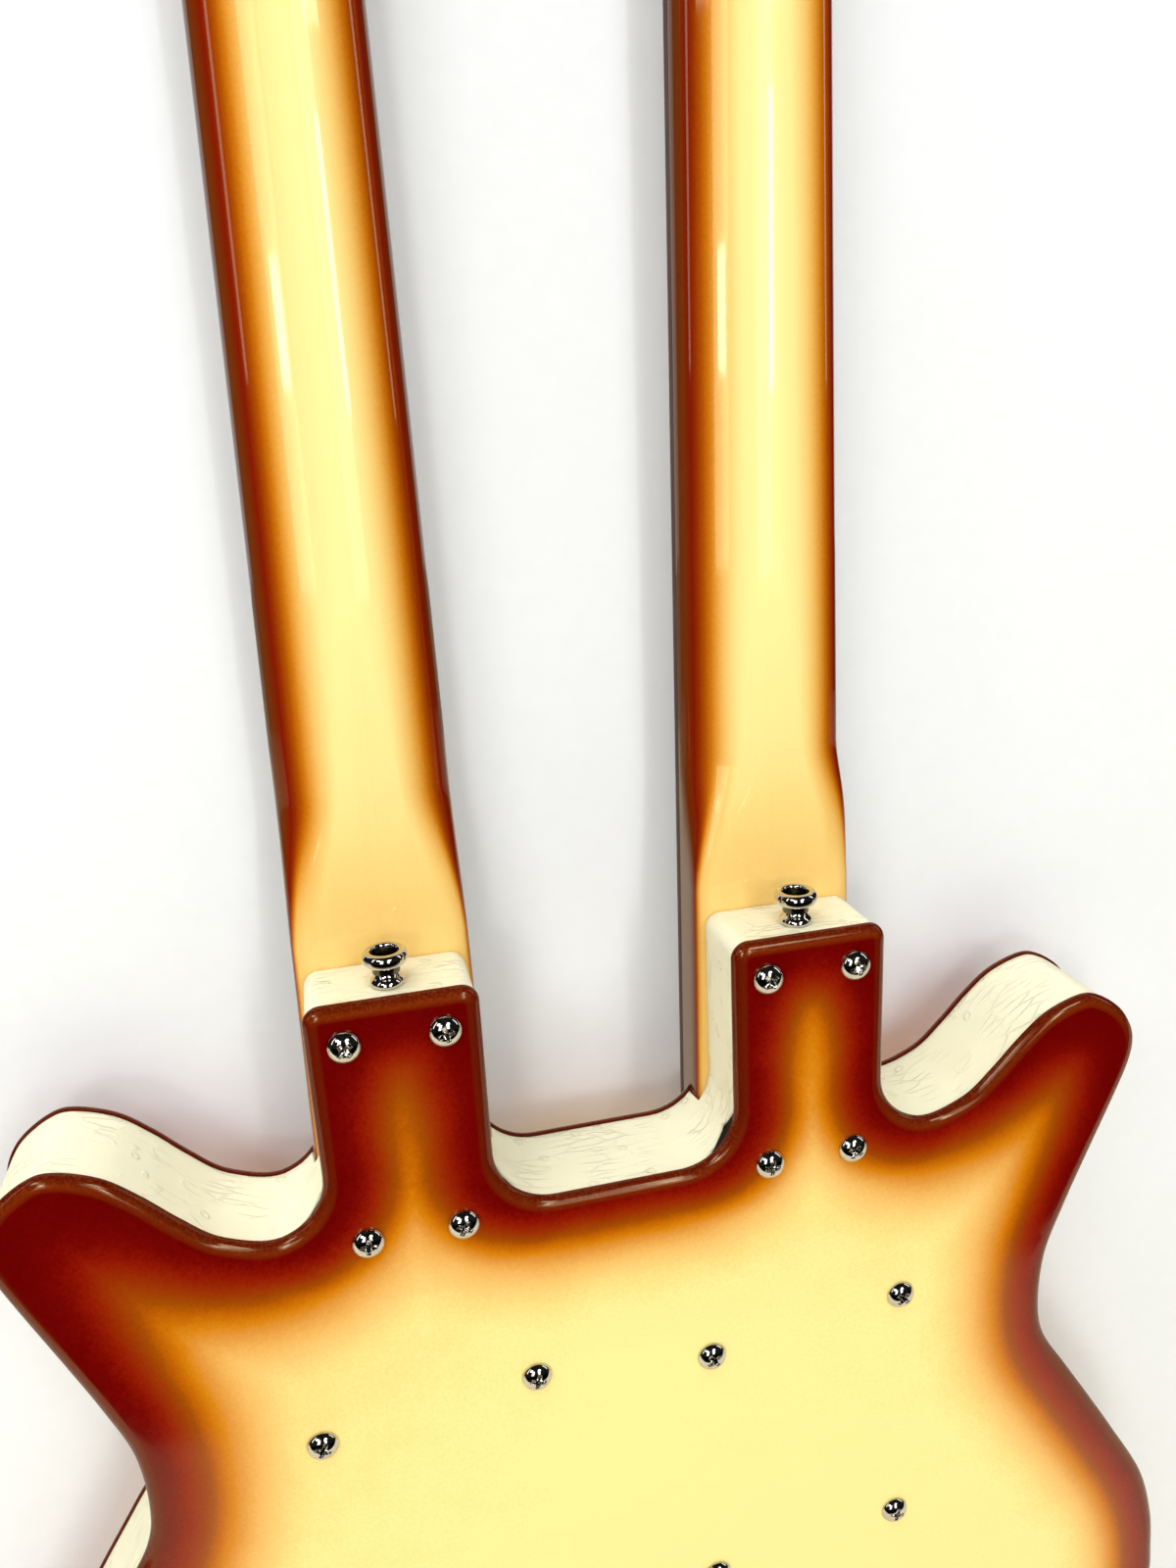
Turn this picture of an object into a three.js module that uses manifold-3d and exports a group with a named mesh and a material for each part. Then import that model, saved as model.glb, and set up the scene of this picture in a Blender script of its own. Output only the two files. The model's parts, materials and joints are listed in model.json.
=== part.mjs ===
// Double-neck electric guitar with a semi-hollow body, two bolt-on necks and six strings on each neck.
// Millimetres. It is drawn lying on its front: X across, Y up the necks, Z out of the back, and the
// group at the end stands it up, so that the necks point along +Z and the back faces -Y.
// The origin is midway between the ends of the two neck tongues, at the middle of their thickness.
import * as THREE from 'three';
import { mergeVertices } from 'three/addons/utils/BufferGeometryUtils.js';
import Module from 'manifold-3d';

const wasm = await Module();
wasm.setup();

// Fits and cutting
const fit = 0.3;
const overrun = 5;

// Body
const panelThickness = 3.2;
const coreThickness = 34.8;
const panelOverhang = 0.8;
const rimRadius = 2.6;
const tapeThickness = 0.9;
const bodyHalfWidth = 218;
const bodyLength = 435;
const wallWidth = 16;
const chamberBrace = 18;

// Tongues that carry the necks, and the cutaways beside them
const neckSpacing = 131;
const tongueWidth = 50.2;
const tongueCorner = 4.8;
const tongueThickness = 26.5;
const troughDepth = 77.3;
const innerTroughRadius = 19.8;
const outerTroughRadius = 19.5;
const outerTroughDrop = 2.6;

// Necks
const heelWidth = 57.4;
const heelThickness = 16.4;
const shaftThickness = 15;
const nutThickness = 14.2;
const heelBelowScrews = 64;
const heelAboveScrews = 52;
const heelBlend = 46;
const boardThickness = 5.8;
const boardRadius = 355;
const boardPastHeel = 12;
const fretHeight = 1.1;
const fretWidth = 2.4;
const saddleDrop = 250;

// Neck screws, and long screws that hold the pickups from the back
const screwHead = 9.6;
const screwDome = 3;
const screwShank = 4.2;
const screwAcross = 29.5;
const screwAlong = 67;
const screwBite = 12;
const pickupShank = 3;

// Pickups
const pickupSpacing = 70.8;
const pickupSlantDegrees = 6.4;
const pickupOffset = 1.4;
const neckPickupDrop = 101;
const pickupStep = 97.4;
const pickupLength = 84;
const pickupDiameter = 16;
const pickupRise = 9;

// Bridge and strings
const bridgeWidth = 74;
const bridgeLength = 44;
const bridgeSheet = 2.2;
const bridgeRise = 8;
const saddleWidth = 62;
const saddleDepth = 6;
const stringAction = 1.9;
const stringSpread = 52;
const lowerScale = 635;
const upperScale = 755.65;
const lowerNutWidth = 44.6;
const upperNutWidth = 41.2;
const lowerGauges = [1.17, 0.91, 0.66, 0.43, 0.33, 0.25];
const upperGauges = [1.73, 1.42, 1.12, 0.81, 0.61, 0.36];
const nutMargin = 4;
const nutLength = 4.8;
const nutRise = 1.4;

// Headstocks and tuners
const headThickness = 12.4;
const headStep = 2.6;
const headLength = 176;
const headWidth = 74;
const nutToPost = 40;
const postSpacing = 24.6;
const postDiameter = 6;
const postRise = 15;
const tunerSheet = 1.2;
const tunerBox = 8;
const tunerBoxWidth = 13;
const tunerBoxReach = 12;
const tunerShaft = 3;
const tunerReach = 12;
const buttonWidth = 17;
const buttonLength = 12;
const buttonThickness = 6;

// Strap buttons
const strapFlange = 13.8;
const strapWaist = 6.8;
const strapBase = 10.6;
const strapHeight = 11;
const strapRecess = 8;
const strapTowardBack = 3.7;

// Controls and output jack
const knobDiameter = 23;
const knobHeight = 14;
const knobShaft = 6;
const potDiameter = 24;
const potHeight = 9;
const leverLength = 17;
const leverDiameter = 5;
const leverStem = 2.8;
const leverBall = 7;
const bushDiameter = 12;
const bushHeight = 5;
const jackBore = 6.4;
const jackBush = 9.4;
const jackNut = 14;
const jackNutHeight = 2.6;
const jackDepth = 16;

// Levels, from the back face down to the strings
const backFace = tongueThickness / 2 + fit + panelThickness;
const coreBack = backFace - panelThickness - fit;
const coreFront = coreBack - coreThickness;
const frontFace = coreFront - fit - panelThickness;
const seatLevel = coreBack - tongueThickness;
const heelBack = seatLevel - fit;
const boardSeat = heelBack - heelThickness;
const boardTop = boardSeat - fit - boardThickness;
const fretTop = boardTop - fretHeight;
const headBack = boardSeat + headStep + headThickness;

// Places up the necks
const screwCentre = -45.2;
const heelEnd = screwCentre - heelBelowScrews;
const heelTop = screwCentre + heelAboveScrews;
const boardEnd = heelEnd - boardPastHeel;
const saddleLine = screwCentre - saddleDrop;
const stringAtSaddle = fretTop - 2 * stringAction;

const necks = [
  {
    name: 'lower', x: -neckSpacing / 2, scale: lowerScale, frets: 21,
    nutWidth: lowerNutWidth, gauges: lowerGauges,
  },
  {
    name: 'upper', x: neckSpacing / 2, scale: upperScale, frets: 24,
    nutWidth: upperNutWidth, gauges: upperGauges,
  },
];
for (const neck of necks) {
  neck.nutLine = saddleLine + neck.scale;
}

// Turning geometry into closed solids and back

function solid(geometry) {
  const bare = geometry.clone();
  for (const name of ['normal', 'uv']) {
    bare.deleteAttribute(name);
  }
  const welded = mergeVertices(bare);
  const source = welded.index.array;
  const corners = [];
  for (let i = 0; i < source.length; i += 3) {
    const [a, b, c] = [source[i], source[i + 1], source[i + 2]];
    if (a !== b && b !== c && c !== a) {
      corners.push(a, b, c);
    }
  }
  const vertProperties = welded.attributes.position.array;
  const triVerts = Uint32Array.from(corners);
  return new wasm.Manifold(new wasm.Mesh({ numProp: 3, vertProperties, triVerts }));
}

function geometryOf(body) {
  const data = body.getMesh();
  const geometry = new THREE.BufferGeometry();
  geometry.setAttribute('position', new THREE.BufferAttribute(data.vertProperties, 3));
  geometry.setIndex(new THREE.BufferAttribute(data.triVerts, 1));
  return geometry;
}

function join(bodies) {
  return bodies.reduce((sum, body) => sum.add(body));
}

function cut(body, tools) {
  return tools.reduce((rest, tool) => rest.subtract(tool), body);
}

// Closed skin over rings of equally many points; its ends are closed by flat caps
function loft(sections, flat) {
  const backwards = THREE.ShapeUtils.isClockWise(sections[0].map(flat));
  const rings = sections.map((section) => (backwards ? [...section].reverse() : section));
  const count = rings[0].length;
  const points = rings.flat();
  const corners = [];
  for (let r = 0; r + 1 < rings.length; r += 1) {
    for (let i = 0; i < count; i += 1) {
      const a = r * count + i;
      const b = r * count + (i + 1) % count;
      corners.push(a, b, b + count, a, b + count, a + count);
    }
  }
  const last = (rings.length - 1) * count;
  for (const [a, b, c] of THREE.ShapeUtils.triangulateShape(rings[0].map(flat), [])) {
    corners.push(a, c, b, last + a, last + b, last + c);
  }
  let sixfold = 0;
  for (let i = 0; i < corners.length; i += 3) {
    const [a, b, c] = [points[corners[i]], points[corners[i + 1]], points[corners[i + 2]]];
    sixfold += a.dot(new THREE.Vector3().crossVectors(b, c));
  }
  if (sixfold < 0) {
    corners.reverse();
  }
  const geometry = new THREE.BufferGeometry().setFromPoints(points);
  geometry.setIndex(corners);
  return solid(geometry);
}

// Straight-sided slab of a plan outline between two levels
function slab(points, low, high, holes = []) {
  const shape = new THREE.Shape(points);
  shape.holes = holes.map((hole) => new THREE.Path(hole));
  const geometry = new THREE.ExtrudeGeometry(shape, { depth: high - low, bevelEnabled: false });
  return solid(geometry.translate(0, 0, low));
}

function rod(x, y, low, high, diameter, sides = 12) {
  const geometry = new THREE.CylinderGeometry(diameter / 2, diameter / 2, high - low, sides);
  geometry.rotateX(Math.PI / 2);
  return solid(geometry.translate(x, y, (low + high) / 2));
}

function block(width, length, height, x, y, z) {
  return solid(new THREE.BoxGeometry(width, length, height).translate(x, y, z));
}

// Body turned about the Z axis from a list of [radius, level] pairs
function turned(profile, sides) {
  const points = profile.map(([radius, level]) => new THREE.Vector2(radius, level));
  return solid(new THREE.LatheGeometry(points, sides).rotateX(Math.PI / 2));
}

function smooth(share) {
  const s = THREE.MathUtils.clamp(share, 0, 1);
  return s * s * (3 - 2 * s);
}

// Body outline: the right half from the tail round the bout, waist and horn to the outer cutaway,
// as shares of the half width and of the length
const sideShares = [
  [0, -1], [0.2, -0.9965], [0.404, -0.985], [0.596, -0.9645], [0.757, -0.933], [0.872, -0.892],
  [0.945, -0.839], [0.986, -0.782], [1, -0.72], [0.997, -0.685], [0.987, -0.642], [0.956, -0.591],
  [0.887, -0.532], [0.835, -0.49], [0.782, -0.4485], [0.731, -0.407], [0.716, -0.37], [0.722, -0.322],
  [0.7505, -0.279], [0.7845, -0.2365], [0.827, -0.1855], [0.8495, -0.156], [0.8565, -0.137],
  [0.8505, -0.122], [0.829, -0.1055], [0.791, -0.092], [0.7575, -0.089], [0.702, -0.099],
  [0.658, -0.117], [0.614, -0.1395], [0.568, -0.1595],
];
const sideSteps = 42;
const cornerSteps = 3;

function bodyOutline(inset) {
  const half = tongueWidth / 2;
  const centre = neckSpacing / 2;
  const outerX = centre + half + outerTroughRadius;
  const outerY = -troughDepth + outerTroughDrop + outerTroughRadius;
  const innerX = centre - half - innerTroughRadius;
  const innerY = -troughDepth + innerTroughRadius;
  const side = sideShares.map(([x, y]) => new THREE.Vector2(x * bodyHalfWidth, y * bodyLength));
  side.push(new THREE.Vector2(outerX, outerY - outerTroughRadius));
  const right = new THREE.SplineCurve(side).getPoints(sideSteps);
  const arcs = [
    [outerX, outerY, outerTroughRadius, 1.5, 1],
    [centre + half - tongueCorner, -tongueCorner, tongueCorner, 0, 0.5],
    [centre - half + tongueCorner, -tongueCorner, tongueCorner, 0.5, 1],
    [innerX, innerY, innerTroughRadius, 2, 1.5],
  ];
  for (const [x, y, radius, from, to] of arcs) {
    const arc = new THREE.EllipseCurve(x, y, radius, radius, from * Math.PI, to * Math.PI, to < from);
    right.push(...arc.getPoints(cornerSteps));
  }
  const apart = right.filter((p, i) => i === 0 || p.distanceTo(right[i - 1]) > fit);
  const left = apart.slice(1).reverse().map((p) => new THREE.Vector2(-p.x, p.y));
  return moved([...apart, ...left], inset);
}

// The outline moved inward by a distance, along the mean normal of its two neighbours
function moved(points, inset) {
  const count = points.length;
  return points.map((p, i) => {
    const before = p.clone().sub(points[(i + count - 1) % count]).normalize();
    const after = points[(i + 1) % count].clone().sub(p).normalize();
    const along = before.clone().add(after).normalize();
    const stretch = 1 / Math.max(along.dot(after), Math.SQRT1_2);
    return new THREE.Vector2(p.x - along.y * inset * stretch, p.y + along.x * inset * stretch);
  });
}

// Sheet with its outer rim rounded over in two steps
function panel(outerLevel, innerLevel) {
  const out = Math.sign(outerLevel - innerLevel);
  const rings = [[0, innerLevel], [0, outerLevel - out * rimRadius]];
  for (const turn of [1, 2]) {
    const angle = turn * Math.PI / 4;
    rings.push([rimRadius * (1 - Math.cos(angle)), outerLevel - out * rimRadius * (1 - Math.sin(angle))]);
  }
  const plan = ([inset, level]) => {
    const loop = bodyOutline(inset - panelOverhang);
    return loop.map((p) => new THREE.Vector3(p.x, p.y, level));
  };
  return loft(rings.map(plan), (p) => new THREE.Vector2(p.x, p.y));
}

// Half width of a neck at a height, straight from the heel to the nut
function neckHalf(neck, y) {
  const taper = (heelWidth - neck.nutWidth) / (neck.nutLine - screwCentre);
  return (heelWidth - taper * (y - screwCentre)) / 2;
}

// Everything in front of the tongue's seat, as wide as the neck: the slot that the heel lies in
function neckSlot(neck) {
  const top = overrun;
  const [low, high] = [heelEnd - fit, top].map((y) => neckHalf(neck, y) + fit);
  const plan = [
    new THREE.Vector2(neck.x - low, heelEnd - fit), new THREE.Vector2(neck.x + low, heelEnd - fit),
    new THREE.Vector2(neck.x + high, top), new THREE.Vector2(neck.x - high, top),
  ];
  return slab(plan, frontFace - overrun, seatLevel);
}

function screwPlaces(neck) {
  const signs = [[-1, 1], [1, 1], [-1, -1], [1, -1]];
  return signs.map(([sx, sy]) => [neck.x + sx * screwAcross / 2, screwCentre + sy * screwAlong / 2]);
}

const pickupTilt = pickupSlantDegrees * Math.PI / 180;
const pickups = necks.flatMap((neck) => ['neck', 'bridge'].map((place, i) => ({
  name: `pickup_${neck.name}_${place}`,
  x: neck.x - pickupOffset,
  y: screwCentre - neckPickupDrop - i * pickupStep,
})));

function pickupScrewPlaces(pickup) {
  const reach = pickupSpacing / 2;
  return [-1, 1].map((side) => [
    pickup.x + side * reach * Math.cos(pickupTilt),
    pickup.y + side * reach * Math.sin(pickupTilt),
  ]);
}

function pickupHollow(pickup) {
  const clear = pickupDiameter + 2 * fit;
  const length = pickupLength + 2 * fit;
  const hollow = new THREE.BoxGeometry(length, clear, clear + overrun).rotateZ(pickupTilt);
  const low = frontFace - overrun;
  return solid(hollow.translate(pickup.x, pickup.y, low + (clear + overrun) / 2));
}

// Controls on the front, on the lower neck's side of the lower bout
const controls = {};
const controlShares = {
  volume: [0.3, 0.62],
  tone: [0.3, 0.71],
  pickupSwitch: [0.3, 0.8],
  neckSwitch: [0.68, 0.665],
  jack: [0.68, 0.755],
};
for (const [name, [across, down]] of Object.entries(controlShares)) {
  const x = THREE.MathUtils.lerp(-(neckSpacing + bridgeWidth) / 2, wallWidth - bodyHalfWidth, across);
  controls[name] = [x, -down * bodyLength];
}

// Closed outline with round corners, for a chamber between two heights and two side distances
function chamber(left, right, low, high) {
  const radius = wallWidth / 2;
  const corners = [[right, high, 0], [left, high, 0.5], [left, low, 1], [right, low, 1.5]];
  return corners.flatMap(([x, y, turn]) => {
    const inX = x + (x === right ? -radius : radius);
    const inY = y + (y === high ? -radius : radius);
    const arc = new THREE.EllipseCurve(inX, inY, radius, radius, turn * Math.PI, (turn + 0.5) * Math.PI);
    return arc.getPoints(2);
  });
}

function chambers() {
  const outer = neckSpacing / 2 + tongueWidth / 2 + wallWidth;
  const inner = neckSpacing / 2 - tongueWidth / 2 - wallWidth;
  const waist = 0.35 * bodyLength;
  const tail = bodyLength - wallWidth - chamberBrace;
  const bout = 0.53 * bodyLength;
  const reach = potDiameter / 2 + wallWidth / 2;
  const places = Object.values(controls);
  const spread = (axis) => places.map((point) => point[axis]);
  const wide = [Math.min(...spread(0)) - reach, Math.max(...spread(0)) + reach];
  const high = [Math.min(...spread(1)) - reach, Math.max(...spread(1)) + reach];
  const shapes = [chamber(-inner, inner, -waist - chamberBrace, -troughDepth - wallWidth)];
  shapes.push(chamber(-inner, inner, -tail, -bout + chamberBrace));
  for (const side of [-1, 1]) {
    const span = [side * outer, side * (0.68 * bodyHalfWidth - wallWidth)].sort((a, b) => a - b);
    shapes.push(chamber(...span, -waist, -troughDepth - wallWidth));
    shapes.push(chamber(...wide.map((x) => -side * x).sort((a, b) => a - b), ...high));
  }
  return shapes;
}

// Finishes
function finish(color, roughness, metalness) {
  return new THREE.MeshStandardMaterial({ color, roughness, metalness });
}

const sunburst = finish(0xd98a3a, 0.25, 0);
const poplar = finish(0xd9b884, 0.7, 0);
const vinyl = finish(0xece7c8, 0.6, 0);
const lacquered = finish(0xf0c778, 0.15, 0);
const rosewood = finish(0x4a2a1c, 0.5, 0);
const bone = finish(0xf2ecd8, 0.4, 0);
const chrome = finish(0xd8d8da, 0.12, 1);
const nickel = finish(0xc9c6bd, 0.2, 1);
const cream = finish(0xf0e9cf, 0.35, 0);

const guitar = new THREE.Group();
guitar.name = 'double_neck_guitar';

function place(name, body, material) {
  const mesh = new THREE.Mesh(geometryOf(body), material);
  mesh.name = name;
  guitar.add(mesh);
  return mesh;
}

// Back panel: one sheet over the whole body and both tongues, drilled for every screw
function backPanel() {
  const holes = [];
  for (const neck of necks) {
    for (const [x, y] of screwPlaces(neck)) {
      holes.push(rod(x, y, coreBack - overrun, backFace + overrun, screwShank + 4 * fit, 6));
    }
  }
  for (const [x, y] of pickups.flatMap(pickupScrewPlaces)) {
    holes.push(rod(x, y, coreBack - overrun, backFace + overrun, pickupShank + 4 * fit, 6));
  }
  return cut(panel(backFace, coreBack + fit), holes);
}

// Front panel: slotted for the necks and pickups, with the cans of the two controls under it
function frontPanel() {
  const inner = coreFront - fit;
  const cans = [controls.volume, controls.tone].map(([x, y]) => (
    rod(x, y, inner - fit, inner + potHeight, potDiameter)
  ));
  const bushes = [controls.neckSwitch, controls.pickupSwitch].map(([x, y]) => (
    rod(x, y, frontFace - bushHeight, inner + leverBall / 2, bushDiameter)
  ));
  const holes = [...necks.map(neckSlot), ...pickups.map(pickupHollow)];
  for (const [x, y] of [controls.volume, controls.tone]) {
    holes.push(rod(x, y, frontFace - overrun, inner + potHeight - panelThickness, knobShaft + 2 * fit));
  }
  for (const [x, y] of [controls.neckSwitch, controls.pickupSwitch]) {
    holes.push(rod(x, y, frontFace - bushHeight - overrun, inner + overrun, leverBall + 2 * fit));
  }
  holes.push(rod(...controls.jack, frontFace - overrun, inner + overrun, jackBush + 2 * fit));
  return cut(join([panel(frontFace, inner), ...cans, ...bushes]), holes);
}

// Core: a frame round the edge with solid wood under the necks, pickups and bridges
function coreFrame() {
  const plan = bodyOutline(tapeThickness + fit);
  const holes = [...necks.map(neckSlot), ...pickups.map(pickupHollow)];
  for (const [x, y] of necks.flatMap(screwPlaces)) {
    holes.push(rod(x, y, frontFace, backFace, screwShank + 4 * fit, 6));
  }
  for (const [x, y] of pickups.flatMap(pickupScrewPlaces)) {
    holes.push(rod(x, y, frontFace, backFace, pickupShank + 4 * fit, 6));
  }
  return cut(slab(plan, coreFront, coreBack, chambers()), holes);
}

// Edge tape: a thin strip round the core, lower along the tongues
function edgeTape() {
  const ring = slab(bodyOutline(0), coreFront, coreBack, [bodyOutline(tapeThickness)]);
  return cut(ring, necks.map(neckSlot));
}

// Neck: square at the heel, blended into a round-backed shaft, with its headstock
function neckBody(neck) {
  const rings = [];
  const steps = [heelEnd, screwCentre, heelTop];
  for (let i = 1; i <= 6; i += 1) {
    steps.push(heelTop + heelBlend * i / 6);
  }
  steps.push((heelTop + heelBlend + neck.nutLine) / 2, neck.nutLine + nutLength);
  for (const y of steps) {
    const round = smooth((y - heelTop) / heelBlend);
    const along = (y - heelTop) / (neck.nutLine - heelTop);
    const shaft = THREE.MathUtils.lerp(shaftThickness, nutThickness, along);
    const height = THREE.MathUtils.lerp(heelThickness, shaft, round);
    const power = 2 / THREE.MathUtils.lerp(9, 2.25, Math.sqrt(round));
    const half = neckHalf(neck, y);
    const ring = [];
    for (let i = 0; i <= 12; i += 1) {
      const angle = Math.PI * i / 12;
      const [c, s] = [Math.cos(angle), Math.sin(angle)];
      const x = neck.x + half * Math.sign(c) * Math.abs(c) ** power;
      ring.push(new THREE.Vector3(x, y, boardSeat + height * Math.abs(s) ** power));
    }
    rings.push(ring);
  }
  const shaft = loft(rings, (p) => new THREE.Vector2(p.x, p.z));
  const holes = screwPlaces(neck).map(([x, y]) => (
    rod(x, y, heelBack - screwBite - fit, heelBack + overrun, screwShank + 4 * fit, 6)
  ));
  for (const post of postPlaces(neck)) {
    holes.push(rod(post.x, post.y, boardSeat - overrun, headBack + overrun, postDiameter + 3 * fit, 8));
  }
  return cut(shaft.add(headstock(neck)), holes);
}

// Headstock plan as shares of its width and length, from the nut; the tuners are on its right
const headShares = [
  [-0.27, -0.02], [-0.29, 0], [-0.31, 0.08], [-0.36, 0.2], [-0.43, 0.42], [-0.5, 0.68], [-0.545, 0.86],
  [-0.53, 0.95], [-0.47, 0.995], [-0.38, 0.99], [-0.28, 0.97], [-0.17, 0.965], [-0.09, 0.96],
  [-0.045, 0.925], [0.446, 0.227], [0.478, 0.165], [0.465, 0.115], [0.4, 0.065], [0.33, 0.03],
  [0.28, -0.02],
];

function headstock(neck) {
  const plan = headShares.map(([x, y]) => (
    new THREE.Vector2(neck.x + x * headWidth, neck.nutLine + y * headLength)
  ));
  return slab(plan, boardSeat + headStep, headBack);
}

// Each string runs straight from its saddle place to its post
function stringX(neck, index, y) {
  const share = 0.5 - index / 5;
  const atNut = neck.nutWidth - 2 * nutMargin;
  const along = (y - saddleLine) / neck.scale;
  return neck.x + share * THREE.MathUtils.lerp(stringSpread, atNut, Math.min(along, 1));
}

function postPlaces(neck) {
  return [0, 1, 2, 3, 4, 5].map((index) => {
    const y = neck.nutLine + nutToPost + index * postSpacing;
    return { x: stringX(neck, index, y) + postDiameter / 2 + neck.gauges[index] / 2 + fit, y };
  });
}

// Fingerboard with a rounded face and its frets
function fingerboard(neck) {
  const section = (y, inset, level, rise) => {
    const half = neckHalf(neck, y) - inset;
    const ring = [new THREE.Vector3(neck.x + half, y, level)];
    for (let i = 0; i <= 3; i += 1) {
      const x = half * (1 - i * 2 / 3);
      const fall = boardRadius - Math.sqrt(boardRadius ** 2 - x ** 2);
      ring.push(new THREE.Vector3(neck.x + x, y, boardTop - rise + fall));
    }
    ring.push(new THREE.Vector3(neck.x - half, y, level));
    return ring;
  };
  const flat = (p) => new THREE.Vector2(p.x, p.z);
  const bottom = boardSeat - fit;
  const board = loft([boardEnd, neck.nutLine - fit].map((y) => section(y, 0, bottom, 0)), flat);
  const parts = [board];
  for (let n = 1; n <= neck.frets; n += 1) {
    const y = neck.nutLine - neck.scale * (1 - 2 ** (-n / 12));
    const profile = [[-0.5, 0], [0, 1], [0.5, 0]];
    parts.push(loft(profile.map(([along, up]) => (
      section(y + along * fretWidth, fretHeight / 2, boardTop + 2 * fretHeight, up * fretHeight)
    )), flat));
  }
  return join(parts);
}

// Nut with a notch for each string
function nut(neck) {
  const y = neck.nutLine + nutLength / 2;
  const top = fretTop - nutRise;
  const bottom = boardSeat - fit;
  const body = block(neck.nutWidth, nutLength, bottom - top, neck.x, y, (bottom + top) / 2);
  const notches = neck.gauges.map((gauge, index) => (
    block(gauge + 2 * fit, nutLength + overrun, 2 * nutRise, stringX(neck, index, y), y, top)
  ));
  return cut(body, notches);
}

// Four-sided string through its places, joined to the bridge at its tail
function string(neck, index) {
  const gauge = neck.gauges[index];
  const post = postPlaces(neck)[index];
  const lift = gauge / 2 + fit;
  const tail = saddleLine - bridgeLength + saddleDepth + bridgeSheet;
  const nutTop = fretTop - lift;
  const places = [
    [tail - bridgeSheet / 2, frontFace - bridgeRise - bridgeSheet / 2],
    [saddleLine, stringAtSaddle - lift],
    [neck.nutLine + nutLength / 2, nutTop],
    [post.y, boardSeat - postRise / 2],
  ];
  const rings = places.map(([y, level]) => {
    const x = stringX(neck, index, y);
    const ring = [];
    for (let i = 0; i < 4; i += 1) {
      const angle = i * Math.PI / 2;
      ring.push(new THREE.Vector3(x + gauge / 2 * Math.cos(angle), y, level + gauge / 2 * Math.sin(angle)));
    }
    return ring;
  });
  return loft(rings, (p) => new THREE.Vector2(p.x, p.z));
}

// Bridge: a bent plate on a foot, with the six strings anchored in its rear lip
function bridge(neck) {
  const low = saddleLine - bridgeLength + saddleDepth + bridgeSheet;
  const seat = frontFace - fit;
  const top = seat - bridgeRise;
  const middle = low + bridgeLength / 2;
  const plate = block(bridgeWidth, bridgeLength, bridgeSheet, neck.x, middle, top + bridgeSheet / 2);
  const lipHeight = seat - top + bridgeSheet;
  const lip = block(bridgeWidth, bridgeSheet, lipHeight, neck.x, low, (seat + top - bridgeSheet) / 2);
  const legLine = low + bridgeLength - saddleDepth;
  const legs = [-1, 1].map((side) => (
    rod(neck.x + side * (bridgeWidth / 2 - saddleDepth), legLine, top, seat, saddleDepth)
  ));
  return join([plate, lip, ...legs, ...neck.gauges.map((gauge, index) => string(neck, index))]);
}

function saddle(neck) {
  const seat = frontFace - fit - bridgeRise - fit;
  const half = saddleDepth / 2;
  const plan = [
    [-half, seat], [half, seat], [half, stringAtSaddle + half], [half / 2, stringAtSaddle + half / 4],
    [0, stringAtSaddle], [-half / 2, stringAtSaddle + half / 4], [-half, stringAtSaddle + half],
  ];
  const side = (x) => plan.map(([y, z]) => new THREE.Vector3(x, saddleLine + y, z));
  const ends = [neck.x - saddleWidth / 2, neck.x + saddleWidth / 2];
  return loft(ends.map(side), (p) => new THREE.Vector2(p.y, p.z));
}

// Domed screw head standing on the back panel, with its shank
function backScrew(x, y, shank, end) {
  const seat = backFace + fit;
  const rim = screwHead / 2;
  const profile = [
    [0, end], [shank / 2, end], [shank / 2, seat], [rim, seat],
    [rim * 0.97, seat + screwDome * 0.3], [rim * 0.6, seat + screwDome * 0.86], [0, seat + screwDome],
  ];
  const body = new THREE.LatheGeometry(profile.map(([r, z]) => new THREE.Vector2(r, z)), 10);
  return solid(body.rotateX(Math.PI / 2).translate(x, y, 0));
}

// Pickup: a tube closed by two domed ends, held by two long screws from the back
function pickup(place) {
  const radius = pickupDiameter / 2;
  const level = frontFace - pickupRise + radius;
  const half = pickupLength / 2;
  const profile = [
    [0, -half], [radius * 0.7, -half + radius * 0.1], [radius, -half + radius * 0.5],
    [radius, half - radius * 0.5], [radius * 0.7, half - radius * 0.1], [0, half],
  ];
  const tube = new THREE.LatheGeometry(profile.map(([r, z]) => new THREE.Vector2(r, z)), 12);
  tube.rotateZ(Math.PI / 2 + pickupTilt).translate(place.x, place.y, level);
  const screws = pickupScrewPlaces(place).map(([x, y]) => backScrew(x, y, pickupShank, level));
  return join([solid(tube), ...screws]);
}

// Strap button turned about the Y axis, with a deep recess and its screw's head inside
function strapButton() {
  const [flange, waist, base, recess] = [strapFlange, strapWaist, strapBase, strapRecess].map((d) => d / 2);
  const floor = strapHeight * 0.45;
  const profile = [
    [0, 0], [base, 0], [base, strapHeight * 0.12], [waist, strapHeight * 0.34], [waist, strapHeight * 0.46],
    [flange, strapHeight * 0.68], [flange, strapHeight * 0.84], [flange * 0.88, strapHeight],
    [recess, strapHeight], [recess * 0.9, floor], [0, floor + strapHeight * 0.14],
  ];
  return turned(profile, 12);
}

// Tuner strip with a gear box for each string, along the line of the posts
function tunerFrame(neck) {
  const posts = postPlaces(neck);
  const start = new THREE.Vector2(posts[0].x, posts[0].y);
  const end = new THREE.Vector2(posts[5].x, posts[5].y);
  const along = end.clone().sub(start).normalize();
  const angle = Math.atan2(-along.x, along.y);
  return { posts, angle, out: new THREE.Vector2(along.y, -along.x), start, end };
}

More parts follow.
